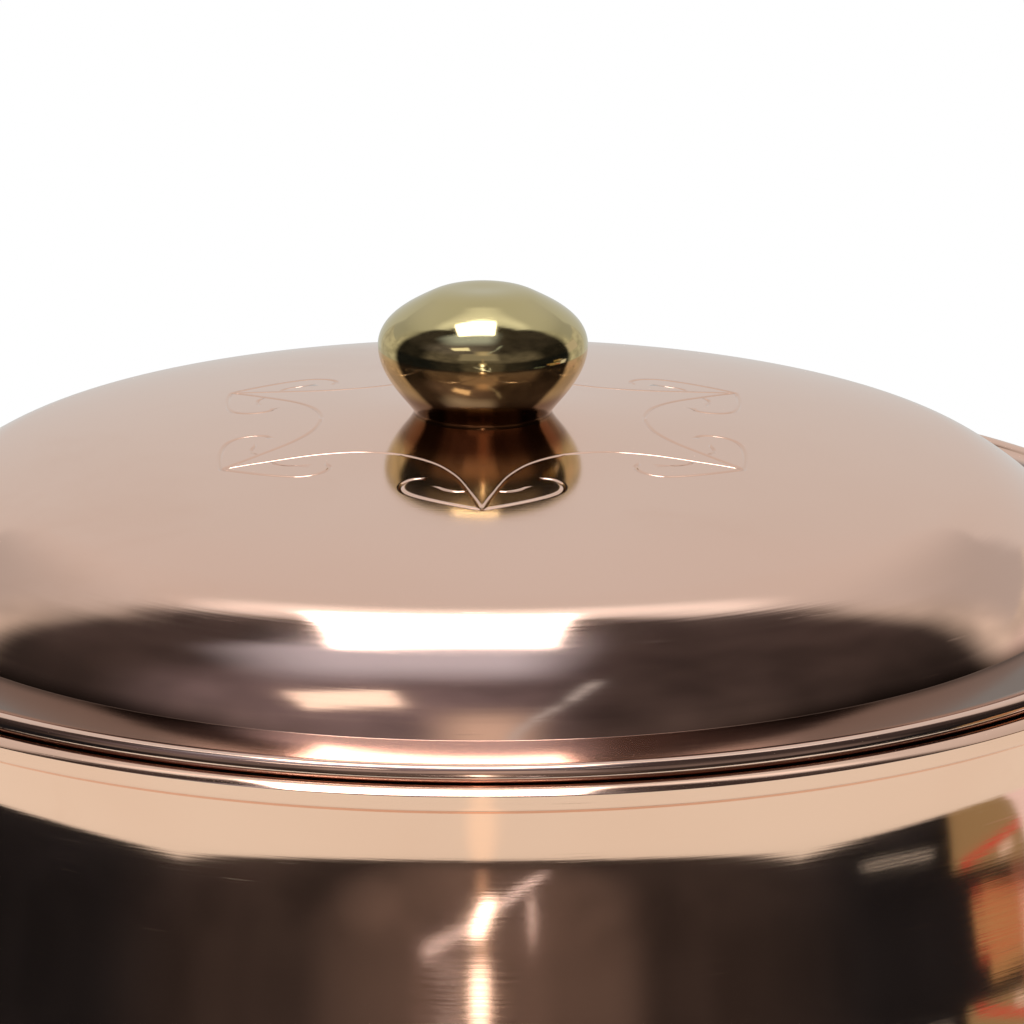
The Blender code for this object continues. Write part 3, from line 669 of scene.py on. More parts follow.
def makePotShell():
    p = potSizes
    inside = offset(wallLine, p["sheet"])
    hollow = arc(potBead, p["beadRadius"] - p["sheet"], 180, p["curlEnd"], p["curlSteps"])
    skin = beadSkin(potBead, p["beadRadius"], p["curlEnd"], 180)
    floorTop = [Vector((x, p["sheet"])) for x in p["floorRings"]]
    floorUnder = [Vector((x, 0)) for x in p["floorRings"][::-1]]
    outline = floorUnder + wallLine + hollow + skin + inside[::-1] + floorTop
    outer = len(floorUnder + wallLine + hollow + skin) - 1
    finishes = [0 if i < outer else 1 for i in range(len(outline))]
    newPiece("copperPotShell", spin(outline, p["segments"], finishes=finishes),
             ["polishedPotCopper", "wipedTin"], "pot", "pot_shell", sharp=60)


rimWires = {"clearance": gap, "roundSegments": 24, "turnSegments": 144}


def makeRimWire(name, centre, hollowRadius, body, replaced):
    outline = arc(centre, hollowRadius - rimWires["clearance"], 0, 360, rimWires["roundSegments"])[:-1]
    bm = spin(outline, rimWires["turnSegments"], closed=True)
    newPiece(name, bm, ["brightSteel"], body, replaced)


makePotShell()
makeRimWire("potRimWire", potBead, potSizes["beadRadius"] - potSizes["sheet"], "pot", "pot_rim_wire")
print("pot shell made")


# The engraved band on the lid: strokes given from one cusp of the rosette, as radius and angle
engraving = {
    "cusps": 6,
    "firstCusp": -90.0,
    "depth": 0.00024,
    "guard": 0.00025,                     # plain strip kept beside each stroke
    "step": 0.00045,                      # distance between the points of a stroke
    "fineness": 24,
    "taper": (0.45, 0.14),                # share of the width at a stroke's tip, and more with each step
    "rowShares": (-1, -0.5, 0, 0.5, 1),   # rows of points across a stroke
    "fill": (16, 160),                    # rows and columns of points in the plain metal between
    "fillRoom": 0.0006,
    "probe": 0.00006,                     # distance over which a groove's slope is measured
    "strokes": (
        # half width, then (radius in mm, degrees from the cusp)
        (0.56, ((53.2, 0.0), (48.6, 1.3), (44.6, 2.9), (41.0, 4.6), (37.6, 6.8), (34.4, 10.2),
                (31.8, 14.6), (30.1, 20.0), (29.2, 25.5), (28.9, 30.0))),
        (0.60, ((53.2, 0.0), (51.6, 4.0), (50.1, 8.0), (48.8, 11.5), (47.5, 14.8), (46.0, 17.3),
                (43.9, 18.8), (41.6, 18.9), (39.8, 17.6), (39.2, 15.6))),
        (0.46, ((42.9, 10.4), (44.1, 8.2), (44.7, 5.8), (44.5, 3.9))),
    ),
}


def smoothPath(points, step):
    # evenly spaced points of a smooth line through the given ones
    ends = [2 * points[0] - points[1]] + points + [2 * points[-1] - points[-2]]
    dense = []
    for a, b, c, d in zip(ends, ends[1:], ends[2:], ends[3:]):
        for i in range(engraving["fineness"]):
            t = i / engraving["fineness"]
            dense.append(0.5 * ((2 * b) + (c - a) * t + (2 * a - 5 * b + 4 * c - d) * t * t
                                + (3 * b - a - 3 * c + d) * t ** 3))
    dense.append(points[-1])
    even = [dense[0]]
    room = step
    for a, b in zip(dense, dense[1:]):
        length = (b - a).length
        while length > room:
            a = a.lerp(b, room / length)
            even.append(a)
            length = (b - a).length
            room = step
        room -= length
    if (dense[-1] - even[-1]).length > step * 0.4:
        even.append(dense[-1])
    return even


def engravedLines():
    lines = []
    for number in range(engraving["cusps"]):
        axis = engraving["firstCusp"] + 360 / engraving["cusps"] * number
        for side in (-1, 1):
            for halfWidth, marks in engraving["strokes"]:
                points = [polar(Vector((0, 0)), r / 1000, axis + side * turn) for r, turn in marks]
                lines.append((halfWidth / 1000, smoothPath(points, engraving["step"])))
    return lines


class GrooveField:
    # how deep the engraving is at any place of the lid's plan

    def __init__(self, lines):
        self.segments = []
        tip, more = engraving["taper"]
        for halfWidth, points in lines:
            count = len(points) - 1
            for i, (a, b) in enumerate(zip(points, points[1:])):
                taper = min(1.0, tip + more * min(i + 1, count - i))
                self.segments.append((a, b, halfWidth, taper))
        self.tree = KDTree(len(self.segments))
        for i, (a, b, *_) in enumerate(self.segments):
            self.tree.insert((*a.lerp(b, 0.5), 0), i)
        self.tree.balance()
        self.reach = max(s[2] for s in self.segments) + engraving["step"]

    def depth(self, place):
        deepest = 0.0
        for _, i, _ in self.tree.find_range((*place, 0), self.reach):
            a, b, halfWidth, taper = self.segments[i]
            along = b - a
            t = max(0.0, min(1.0, (place - a).dot(along) / along.length_squared))
            away = (place - a.lerp(b, t)).length / (halfWidth * taper)
            if away < 1:
                deepest = max(deepest, taper * (1 - away * away) ** 2)
        return deepest


def engravedBand(bm, heightAt, lines, field, inner, outer, segments):
    # flat cuts of the band between two radii along the strokes, lifted onto the dome
    places, edges = [], []

    def ring(radius, count, shift=0.0):
        return [polar(Vector((0, 0)), radius, 360 * (i + shift) / count) for i in range(count)]

    for radius in (inner, outer):
        first = len(places)
        places.extend(ring(radius, segments))
        edges.extend((first + i, first + (i + 1) % segments) for i in range(segments))
    for halfWidth, points in lines:
        for share in engraving["rowShares"]:
            moved = offset(points, share * halfWidth) if share else points
            first = len(places)
            places.extend(moved)
            edges.extend((first + i, first + i + 1) for i in range(len(moved) - 1))
        for side in (-1, 1):
            places.extend(offset(points, side * (halfWidth + engraving["guard"])))
    rows, columns = engraving["fill"]
    clear = engraving["step"] + engraving["guard"] + engraving["fillRoom"]
    for row in range(1, rows):
        radius = inner + (outer - inner) * row / rows
        for place in ring(radius, columns, 0.5 * (row % 2)):
            if not field.tree.find_range((*place, 0), clear):
                places.append(place)
    made = delaunay_2d_cdt(places, edges, [], 0, 1e-6)
    verts = {}
    for corners in made[2]:
        if max(made[0][i].length for i in corners) < inner * 1.0001:
            continue
        for i in corners:
            if i not in verts:
                place = made[0][i]
                drop = engraving["depth"] * field.depth(place)
                verts[i] = bm.verts.new((*place, heightAt(place.length) - drop))
        bm.faces.new([verts[i] for i in corners])


def makeLidShell():
    s = lidSizes
    fine = lidTop(12)
    radii = np.array([p.x for p in fine])
    heights = np.array([p.y for p in fine])
    slopes = np.gradient(heights, radii)

    def heightAt(radius):
        return float(np.interp(radius, radii, heights))

    lines = engravedLines()
    field = GrooveField(lines)
    innerPart = between(topLine, topLine[0].x, s["plainInside"], 0)
    outerPart = between(topLine, s["plainOutside"], topLine[-1].x, 0)
    for line in (innerPart, outerPart):
        line[:] = [Vector((p.x, heightAt(p.x))) for p in line]
    skinSteps, hollowSteps = s["curlSteps"]
    skin = arc(lidBead, s["beadRadius"], s["curlStart"], s["curlEnd"], skinSteps)
    hollow = arc(lidBead, s["beadRadius"] - s["sheet"], s["curlEnd"], s["curlStart"], hollowSteps)
    under = offset(topLine, -s["sheet"])
    under[0].x = s["boreRadius"]
    bm = spin(innerPart, s["segments"])
    outline = outerPart + skin + hollow + under[::-1] + [innerPart[0]]
    tinned = len(outerPart + skin + hollow) - 1
    finishes = [0 if i < tinned else 1 for i in range(len(outline))]
    spin(outline, s["segments"], finishes=finishes, bm=bm)
    engravedBand(bm, heightAt, lines, field, s["plainInside"], s["plainOutside"], s["segments"])
    bmesh.ops.remove_doubles(bm, verts=bm.verts, dist=s["weld"])
    piece = newPiece("engravedLidShell", bm, ["polishedLidCopper", "wipedTin"],
                     "lid", "lid_shell", sharp=60)

    # exact normals of the dome and its grooves, so that the mirror finish stays even
    mesh = piece.data
    probe, margin, onSurface = engraving["probe"], 1e-5, 3e-6
    depths = mesh.attributes.new("grooveDepth", "FLOAT", "POINT")
    normals = []
    for v in mesh.vertices:
        place = v.co.to_2d()
        radius = place.length
        normal = Vector((0, 0, 0))
        if s["boreRadius"] + margin < radius < topLine[-1].x - margin:
            inBand = s["plainInside"] < radius < s["plainOutside"]
            drop = field.depth(place) if inBand else 0.0
            if abs(v.co.z - heightAt(radius) + drop * engraving["depth"]) < onSurface:
                depths.data[v.index].value = drop
                slope = float(np.interp(radius, radii, slopes))
                gradient = place / radius * slope
                if inBand:
                    for axis, step in ((0, Vector((probe, 0))), (1, Vector((0, probe)))):
                        change = field.depth(place + step) - field.depth(place - step)
                        gradient[axis] -= engraving["depth"] * change / (2 * probe)
                normal = Vector((-gradient.x, -gradient.y, 1)).normalized()
        normals.append(normal)
    mesh.normals_split_custom_set_from_vertices(normals)
    print("lid faces:", len(mesh.polygons))


makeLidShell()
makeRimWire("lidRimWire", lidBead, lidSizes["beadRadius"] - lidSizes["sheet"], "lid", "lid_rim_wire")
print("lid shell made")


# Skirt under the lid
skirtSizes = {"sheet": 0.0008, "clearance": 0.0007, "depth": 0.0080, "flange": 0.0055,
              "edgeSteps": 8, "segments": 216}


def makeLidSkirt():
    s = skirtSizes
    outer = lidBead.x - lidSizes["beadRadius"] - s["clearance"]
    curlStart = polar(lidBead, lidSizes["beadRadius"] - lidSizes["sheet"], lidSizes["curlStart"])
    under = offset(topLine, -lidSizes["sheet"]) + [curlStart]
    flange = between(offset(under, -gap), outer - s["flange"], outer, 0)
    lower = between(offset(flange, -s["sheet"]), flange[0].x, outer - s["sheet"], 0)
    bottom = lidSeat - s["depth"]
    half = s["sheet"] / 2
    drop = arc(Vector((outer - half, bottom + half)), half, 0, -180, s["edgeSteps"])
    bm = spin(flange + drop + lower[::-1], s["segments"], closed=True)
    newPiece("lidSkirt", bm, ["wipedTin"], "lid", "lid_skirt", sharp=50)


makeLidSkirt()


# Knob, its screw and washer
knobSizes = {
    "neckRadius": 0.01245,
    "ballRadius": 0.0188,
    "ballHeight": 0.0118,
    "crown": (0.0098, 0.0210, -27.0),     # radius, height over the foot, tilt
    "height": 0.0222,
    "baseTilt": 70.0,
    "shares": (0.12, 0.41),
    "steps": (60, 40, 30),
    "segments": 160,
    "boreDepth": 0.0120,
    "footDrop": 0.00025,                  # the foot's edge comes down almost onto the lid
    "screwRadius": 0.0020,
    "screwTip": (0.8, 0.3),               # width and length of the chamfered tip, in shares of the radius
    "screwHead": (0.0038, 0.0024, 0.3, 10),   # radius, height, share of it that is straight, steps
    "screwGrip": 0.0095,
    "screwSegments": 48,
    "slotWidth": 0.0009,
    "slotDepth": 0.0010,
    "washerRadius": 0.0080,
    "washerSheet": 0.0010,
    "washerEdge": 0.0002,
    "washerSegments": 64,
}


def makeKnob():
    k = knobSizes
    base = lidApex + gap
    widest = Vector((k["ballRadius"], base + k["ballHeight"]))
    foot = Vector((k["neckRadius"], base))
    flankSteps, shoulderSteps, topSteps = k["steps"]
    flank = curve(foot, k["baseTilt"], widest, 90, flankSteps, k["shares"])
    flank[0] = foot - Vector((0, k["footDrop"]))
    crownRadius, crownHeight, crownTilt = k["crown"]
    shoulder = Vector((crownRadius, base + crownHeight))
    top = Vector((0, base + k["height"]))
    ball = chain(flank, curve(widest, 90, shoulder, 180 + crownTilt, shoulderSteps),
                 curve(shoulder, 180 + crownTilt, top, 180, topSteps))
    bore = lidSizes["boreRadius"]
    inside = [Vector((0, base + k["boreDepth"])), Vector((bore, base + k["boreDepth"])), Vector((bore, base))]
    newPiece("turnedKnob", spin(inside + ball, k["segments"]), ["turnedBrass"], "lid",
             "knob", sharp=50)

    under = lidApex - lidSizes["sheet"] - gap
    thick, wide, edge = k["washerSheet"], k["washerRadius"], k["washerEdge"]
    ring = [Vector(p) for p in ((bore, under), (wide - edge, under), (wide, under - edge),
                                (wide, under - thick + edge), (wide - edge, under - thick),
                                (bore, under - thick))]
    newPiece("knobWasher", spin(ring, k["washerSegments"], closed=True), ["brightSteel"], "lid",
             "knob_washer", sharp=30)

    headTop = under - thick - gap
    headRadius, headHeight, headEdge, headSteps = k["screwHead"]
    tipWidth, tipLength = k["screwTip"]
    radius, tip = k["screwRadius"], base + k["screwGrip"]
    shank = [Vector(p) for p in ((0, tip), (radius * tipWidth, tip), (radius, tip - radius * tipLength),
                                 (radius, headTop), (headRadius, headTop))]
    head = roundTop(headRadius, headTop, -headHeight, headEdge, headSteps)
    screw = spin(shank + head, k["screwSegments"])
    low = headTop - headHeight
    reach = headRadius + k["slotWidth"]
    slot = block(Vector((-reach, -k["slotWidth"] / 2, low - k["slotDepth"])),
                 Vector((reach, k["slotWidth"] / 2, low + k["slotDepth"])))
    newPiece("knobScrew", cutTogether(screw, [("DIFFERENCE", slot)]), ["brightSteel"], "lid",
             "knob_screw", sharp=35)


makeKnob()
print("knob made")


# Rivets, domed outside and clenched inside
rivetSizes = {
    "shank": 0.0016,
    "head": (0.0029, 0.0014, 0.18, 10),   # radius, height, share of the height that is straight, steps
    "tail": (0.0026, 0.0009, 0.3, 6),
    "segments": 32,
}


def makeRivet(name, place, plate, sheet, body, replaced):
    r = rivetSizes
    headRadius, headHeight, headEdge, headSteps = r["head"]
    tailRadius, tailHeight, tailEdge, tailSteps = r["tail"]
    seat = plate + 2 * gap
    inner = -sheet - gap
    tail = roundTop(tailRadius, inner, -tailHeight, tailEdge, tailSteps)[::-1]
    shank = [Vector(p) for p in ((tailRadius, inner), (r["shank"], inner),
                                 (r["shank"], seat), (headRadius, seat))]
    head = roundTop(headRadius, seat, headHeight, headEdge, headSteps)
    bm = spin(tail + shank + head, r["segments"])
    bmesh.ops.transform(bm, matrix=place, verts=bm.verts)
    newPiece(name, bm, ["hammeredCopper"], body, replaced)


def rivetPlace(profile, value, axis, angle, sideways=0.0):
    point = pointAt(profile, value, axis)
    normal = outwardAt(profile, value, axis)
    turn = angle + math.asin(sideways / point.x)
    place = around(normal, turn).to_track_quat("Z", "X").to_matrix().to_4x4()
    place.translation = around(point, turn)
    return place


# Side handles
handleSizes = {
    "drop": 0.034,
    "halfSpan": 17.0,
    "reach": 0.036,
    "rise": 0.009,
    "bend": 0.62,
    "radii": ((0.0, 0.0060), (0.05, 0.0056), (0.20, 0.0034), (0.285, 0.0034), (0.305, 0.0046),
              (0.335, 0.0052), (0.385, 0.0052), (0.415, 0.0046), (0.435, 0.0034), (0.50, 0.0034),
              (0.70, 0.0049), (1.0, 0.0050)),
    "padHalfHeight": 0.0150,
    "padHalfWidth": 0.0092,
    "padSheet": 0.0028,
    "padEdge": 0.0009,
    "padEdgeSteps": 6,
    "padRows": (0.0, 0.35, 0.65),         # rings of points on the pad, in shares of its size
    "padSegments": 72,
    "rivetOffset": 0.0095,
    "steps": 150,
    "ringSegments": 32,
}


def radiusAlong(share):
    stations = handleSizes["radii"]
    for (a, low), (b, high) in zip(stations, stations[1:]):
        if share <= b:
            t = (share - a) / (b - a)
            return low + (high - low) * t * t * (3 - 2 * t)
    return stations[-1][1]


def handleBar(side):
    h = handleSizes
    height = potSizes["height"] - h["drop"]
    angle = math.radians(h["halfSpan"])
    root = pointAt(wallLine, height, 1)
    normal = outwardAt(wallLine, height, 1)
    start = around(root + normal * (gap + h["padSheet"] / 2), -angle)
    first = start + around(normal, -angle) * (h["reach"] * h["bend"])
    end = Vector((root.x + h["reach"], 0, height + h["rise"]))
    second = end + Vector((0, start.y * h["bend"], 0))
    half = []
    for i in range(h["steps"] + 1):
        t = i / h["steps"]
        s = 1 - t
        half.append((t, s ** 3 * start + 3 * s * s * t * first + 3 * s * t * t * second + t ** 3 * end))
    path = half + [(t, Vector((p.x, -p.y, p.z))) for t, p in half[-2::-1]]
    flip = Vector((side, 1, 1))
    bm = bmesh.new()
    rings = []
    for i, (share, point) in enumerate(path):
        before = path[max(i - 1, 0)][1]
        after = path[min(i + 1, len(path) - 1)][1]
        tangent = (after - before).normalized()
        across = Vector((0, 0, 1)).cross(tangent).normalized()
        upward = tangent.cross(across)
        radius = radiusAlong(share)
        ring = []
        for k in range(h["ringSegments"]):
            turn = 2 * math.pi * k / h["ringSegments"]
            spot = point + radius * (math.cos(turn) * across + math.sin(turn) * upward)
            ring.append(bm.verts.new(spot * flip))
        rings.append(ring)
    return loft(bm, rings)


def handlePad(side, turn):
    # oval plate laid on the wall, its outer edge rounded over
    h = handleSizes
    height = potSizes["height"] - h["drop"]
    centre = turn if side > 0 else math.pi - turn
    thick, edge = h["padSheet"], h["padEdge"]
    edgeShare = edge / h["padHalfWidth"]
    rows = [(share, thick) for share in (*h["padRows"], 1 - edgeShare)]
    for i in range(1, h["padEdgeSteps"] + 1):
        a = math.pi / 2 * i / h["padEdgeSteps"]
        rows.append((1 - edgeShare * (1 - math.sin(a)), thick - edge * (1 - math.cos(a))))
    rows += [(share, 0.0) for share in (1.0, *h["padRows"][::-1])]
    bm = bmesh.new()
    rings = []
    for share, lift in rows:
        ring = []
        for k in range(h["padSegments"] if share else 1):
            a = 2 * math.pi * k / h["padSegments"]
            sideways = share * h["padHalfWidth"] * math.cos(a)
            z = height + share * h["padHalfHeight"] * math.sin(a)
            spot = pointAt(wallLine, z, 1) + outwardAt(wallLine, z, 1) * (gap + lift)
            ring.append(bm.verts.new(around(spot, centre + sideways / potNeck)))
        rings.append(ring)
    for low, high in zip(rings, rings[1:]):
        joinRings(bm, low, high)
    return bm


def makeHandle(word, side):
    h = handleSizes
    turns = [turn * math.radians(h["halfSpan"]) for turn in (-1, 1)]
    bm = cutTogether(handleBar(side), [("UNION", handlePad(side, turn)) for turn in turns])
    newPiece("castHandle" + word, bm, ["castBrass"], "pot", "handle_" + word.lower(), sharp=45)
    height = potSizes["height"] - h["drop"]
    spots = [(turn, up) for turn in turns for up in (-1, 1)]
    for number, (turn, up) in enumerate(spots, 1):
        angle = turn if side > 0 else math.pi - turn
        place = rivetPlace(wallLine, height + up * h["rivetOffset"], 1, angle)
        makeRivet(f"handle{word}Rivet{number}", place, h["padSheet"], potSizes["sheet"], "pot",
                  f"handle_{word.lower()}_rivet_{number}")


makeHandle("Right", 1)
makeHandle("Left", -1)
print("handles made")


# Rear hinge
hingeSizes = {
    "halfLength": 0.0150,
    "pinRadius": 0.0015,
    "knuckleRadius": 0.0032,
    "standoff": 0.0065,
    "rise": 0.0001,
    "pinHead": (0.0024, 0.0012, 0.3, 8),  # radius, height, share of the height that is straight, steps
    "leafSheet": 0.0016,
    "potLeaf": (0.0255, 0.0510),          # drops below the rim
    "potRivets": (0.0315, 0.0315, 0.0440),
    "potLeafShares": (0.45, 0.40),
    "lidLeaf": (0.0150, 0.0078),          # insets from the lid's bead
    "lidRivets": (0.0113, 0.0113, 0.0113),
    "rivetEdge": 0.0065,
    "stopAngle": 100.0,
    "stopHeight": 0.0080,
    "stopThickness": 0.0020,
    "knuckles": 5,
    "leafSteps": (14, 10, 12),            # points up the pot's leaf, along the lid's, and across both
    "barrelSegments": 48,
    "boreSegments": 32,
    "pinSegments": 40,
    "overrun": 0.002,                     # how far the cutting tools reach past the ends
    "edge": (0.00025, 3, 35.0),           # softened edge: width, segments, least angle
}
hingeY = potSizes["rimRadius"] + hingeSizes["standoff"]
hingeZ = lidSeat - hingeSizes["rise"]
leafAngle = math.asin(hingeSizes["halfLength"] / hingeY)
overrun = hingeSizes["overrun"]


def leafSection(middle):
    half = hingeSizes["leafSheet"] / 2
    return offset(middle, half) + offset(middle, -half)[::-1]


def potLeafMiddle():
    h = hingeSizes
    wall = offset(wallLine, -gap - h["leafSheet"] / 2)
    hugging = between(wall, potSizes["height"] - h["potLeaf"][1], potSizes["height"] - h["potLeaf"][0], 1)
    top = Vector((hingeY - h["knuckleRadius"] + h["leafSheet"] / 2, hingeZ))
    return chain(hugging, curve(hugging[-1], 90, top, 90, h["leafSteps"][0], h["potLeafShares"]))


def lidLeafMiddle():
    h = hingeSizes
    top = offset(topLine, gap + h["leafSheet"] / 2)
    hugging = between(top, lidBead.x - h["lidLeaf"][0], lidBead.x - h["lidLeaf"][1], 0)
    over = Vector((lidBead.x, lidSeat + 2 * lidSizes["beadRadius"] + 2 * gap + h["leafSheet"] / 2))
    end = Vector((hingeY, hingeZ + h["knuckleRadius"] - h["leafSheet"] / 2))
    tilt = math.degrees(math.atan2(*(hugging[-1] - hugging[-2]).yx))
    steps = h["leafSteps"][1]
    return chain(hugging, curve(hugging[-1], tilt, over, 0, steps), curve(over, 0, end, 0, steps))


def knuckleCuts(own):
    h = hingeSizes
    length = 2 * h["halfLength"] / h["knuckles"]
    reach = h["knuckleRadius"] + 2 * gap
    blocks = []
    for number in range(h["knuckles"]):
        if number in own:
            continue
        left = -h["halfLength"] + number * length
        right = left + length
        left -= overrun if number == 0 else gap / 2
        right += overrun if number == h["knuckles"] - 1 else gap / 2
        blocks.append(block(Vector((left, hingeY - reach, hingeZ - reach)),
                            Vector((right, hingeY + reach, hingeZ + reach))))
    return merged(blocks)


def stopLug(left, right):
    h = hingeSizes
    centre = Vector((hingeY, hingeZ))
    leaf = offset(lidLeafMiddle(), h["leafSheet"] / 2 + gap)
    resting = between(leaf, hingeY - h["stopHeight"], hingeY, 0)
    face = [centre + Matrix.Rotation(-math.radians(h["stopAngle"]), 2) @ (p - centre) for p in resting]
    square = (face[-1] - centre).normalized()
    along = Vector((-square.y, square.x))
    root = centre + square * (h["pinRadius"] + 2 * gap)
    upper = root + along * h["pinRadius"] / 2
    lower = root - along * h["knuckleRadius"] / 2
    back = offset(face, h["stopThickness"])
    section = face[:-1] + [upper, lower] + back[::-1]
    bm = bmesh.new()
    return loft(bm, [[bm.verts.new((x, p.x, p.y)) for p in section] for x in (left, right)])


def makeLeaf(name, middle, own, body, replaced, lugs=None):
    h = hingeSizes
    centre = Vector((0, hingeY, hingeZ))
    reach = Vector((h["halfLength"], 0, 0))
    bore = reach + Vector((overrun, 0, 0))
    steps = [("UNION", rod(h["knuckleRadius"], centre - reach, centre + reach, h["barrelSegments"]))]
    if lugs:
        steps.insert(0, ("UNION", lugs))
    steps.append(("DIFFERENCE", knuckleCuts(own)))
    hole = rod(h["pinRadius"] + gap, centre - bore, centre + bore, h["boreSegments"])
    steps.append(("DIFFERENCE", hole))
    bm = cutTogether(strap(leafSection(middle), math.pi / 2, leafAngle, h["leafSteps"][2]), steps)
    piece = newPiece(name, bm, ["castBrass"], body, replaced, sharp=30)
    bevel = piece.modifiers.new("softEdges", "BEVEL")
    bevel.width, bevel.segments, degrees = h["edge"]
    bevel.limit_method = "ANGLE"
    bevel.angle_limit = math.radians(degrees)
    bevel.harden_normals = False
    bevel.miter_outer = "MITER_ARC"


def makeHinge():
    h = hingeSizes
    spreadOut = h["halfLength"] - h["rivetEdge"]
    end = h["halfLength"] - 2 * h["halfLength"] / h["knuckles"] + gap / 2
    lugs = merged([stopLug(-h["halfLength"], -end), stopLug(end, h["halfLength"])])
    makeLeaf("hingeLeafOnPot", potLeafMiddle(), (0, 2, 4), "pot", "hinge_leaf_pot", lugs)
    makeLeaf("hingeLeafOnLid", lidLeafMiddle(), (1, 3), "lid", "hinge_leaf_lid")
    for number, side in enumerate((-1, 1, 0)):
        height = potSizes["height"] - h["potRivets"][number]
        place = rivetPlace(wallLine, height, 1, math.pi / 2, side * spreadOut)
        makeRivet(f"hingePotRivet{number + 1}", place, h["leafSheet"], potSizes["sheet"], "pot",
                  f"hinge_pot_rivet_{number + 1}")
        radius = lidBead.x - h["lidRivets"][number]
        place = rivetPlace(topLine, radius, 0, math.pi / 2, side * spreadOut)
        makeRivet(f"hingeLidRivet{number + 1}", place, h["leafSheet"], lidSizes["sheet"], "lid",
                  f"hinge_lid_rivet_{number + 1}")
    headRadius, headHeight, headEdge, headSteps = h["pinHead"]
    reach = h["halfLength"] + gap
    half = [Vector((h["pinRadius"], reach)), Vector((headRadius, reach))]
    half += roundTop(headRadius, reach, headHeight, headEdge, headSteps)
    bm = spin([Vector((p.x, -p.y)) for p in half[::-1]] + half, h["pinSegments"])
    place = Matrix.Translation((0, hingeY, hingeZ)) @ Matrix.Rotation(math.pi / 2, 4, "Y")
    bmesh.ops.transform(bm, matrix=place, verts=bm.verts)
    newPiece("hingePin", bm, ["brightSteel"], "pot", "hinge_pin", sharp=35)


makeHinge()
print("hinge made")


# The stage: floor, white background and the cards that the polished metal mirrors
stageLooks = {
    "floorColour": (0.86, 0.85, 0.83),
    "floorFade": (0.34, 0.50),            # radius where the floor starts and ends turning white
    "sheetColour": (0.70, 0.73, 0.67),
    "sheetEdges": (-0.385, 0.420, -0.400, 0.420),
    "floorReach": 3.0,
    "floorSegments": 96,
    "floorDrop": 0.0010,                  # how far the floor and the sheet lie below the pot
    "sheetDrop": 0.0006,
    "ambient": 0.62,
    "lampPlace": (-0.15, 0.1, 2.0),
    "lampSize": (0.9, 0.6),
    "lampPower": 26.0,
}


def stageMesh(name, corners, material):
    mesh = bpy.data.meshes.new(name)
    mesh.from_pydata(corners, [], [tuple(range(len(corners)))])
    mesh.materials.append(material)
    obj = newObject(name, mesh)
    return obj


def rectangle(left, right, front, back, height=0.0):
    return [(left, front, height), (right, front, height), (right, back, height), (left, back, height)]


def onlyMirrored(obj):
    obj.visible_camera = False
    obj.visible_diffuse = False
    obj.visible_shadow = False
    obj.visible_volume_scatter = False


def newStageMaterial(name):
    material = bpy.data.materials.new(name)
    material.use_nodes = True
    tree = material.node_tree
    tree.nodes.clear()
    return material, tree, node(tree, "ShaderNodeOutputMaterial").inputs["Surface"]


def mixShaders(tree, mask, first, second, surface):
    mixed = node(tree, "ShaderNodeMixShader")
    for value, socket in zip((mask, first.outputs[0], second.outputs[0]), mixed.inputs):
        feed(tree, value, socket)
    feed(tree, mixed.outputs[0], surface)


def glowWithin(material, tree, surface, mask, colour, strength):
    # glows where the mask is 1 and is clear where it is 0, and doesn't count as a lamp
    glow = fill(tree, node(tree, "ShaderNodeEmission"), Color=colour, Strength=strength)
    mixShaders(tree, mask, node(tree, "ShaderNodeBsdfTransparent"), glow, surface)
    material.cycles.emission_sampling = "NONE"


def seenOutright(tree):
    # full strength for rays from the camera, from mirrors and through glass, ambient for the others
    path = node(tree, "ShaderNodeLightPath").outputs
    total = plus(tree, path["Is Camera Ray"], path["Is Glossy Ray"])
    total = plus(tree, total, path["Is Transmission Ray"], clamp=True)
    return spread(tree, total, 0, 1, stageLooks["ambient"], 1.0, smooth=False)


def makeWorld():
    world = bpy.data.worlds.new("whiteStudio")
    world.use_nodes = True
    tree = world.node_tree
    fill(tree, tree.nodes["Background"], Color=(1, 1, 1), Strength=seenOutright(tree))
    bpy.context.scene.world = world


def makeFloor():
    material, tree, surface = newStageMaterial("paleFloor")
    length = node(tree, "ShaderNodeVectorMath", operation="LENGTH")
    feed(tree, objectPlace(tree)[0], length.inputs[0])
    fade = spread(tree, length.outputs["Value"], *stageLooks["floorFade"])
    matt = fill(tree, node(tree, "ShaderNodeBsdfDiffuse"), Color=stageLooks["floorColour"])
    white = fill(tree, node(tree, "ShaderNodeEmission"), Strength=seenOutright(tree))
    mixShaders(tree, fade, matt, white, surface)
    corners = arc(Vector((0, 0)), stageLooks["floorReach"], 0, 360, stageLooks["floorSegments"])[:-1]
    corners = [(*corner, -stageLooks["floorDrop"]) for corner in corners]
    stageMesh("paleFloor", corners, material).visible_glossy = False

    material, tree, surface = newStageMaterial("paleTableSheet")
    matt = fill(tree, node(tree, "ShaderNodeBsdfDiffuse"), Color=stageLooks["sheetColour"])
    feed(tree, matt.outputs[0], surface)
    corners = rectangle(*stageLooks["sheetEdges"], -stageLooks["sheetDrop"])
    onlyMirrored(stageMesh("paleTableSheet", corners, material))


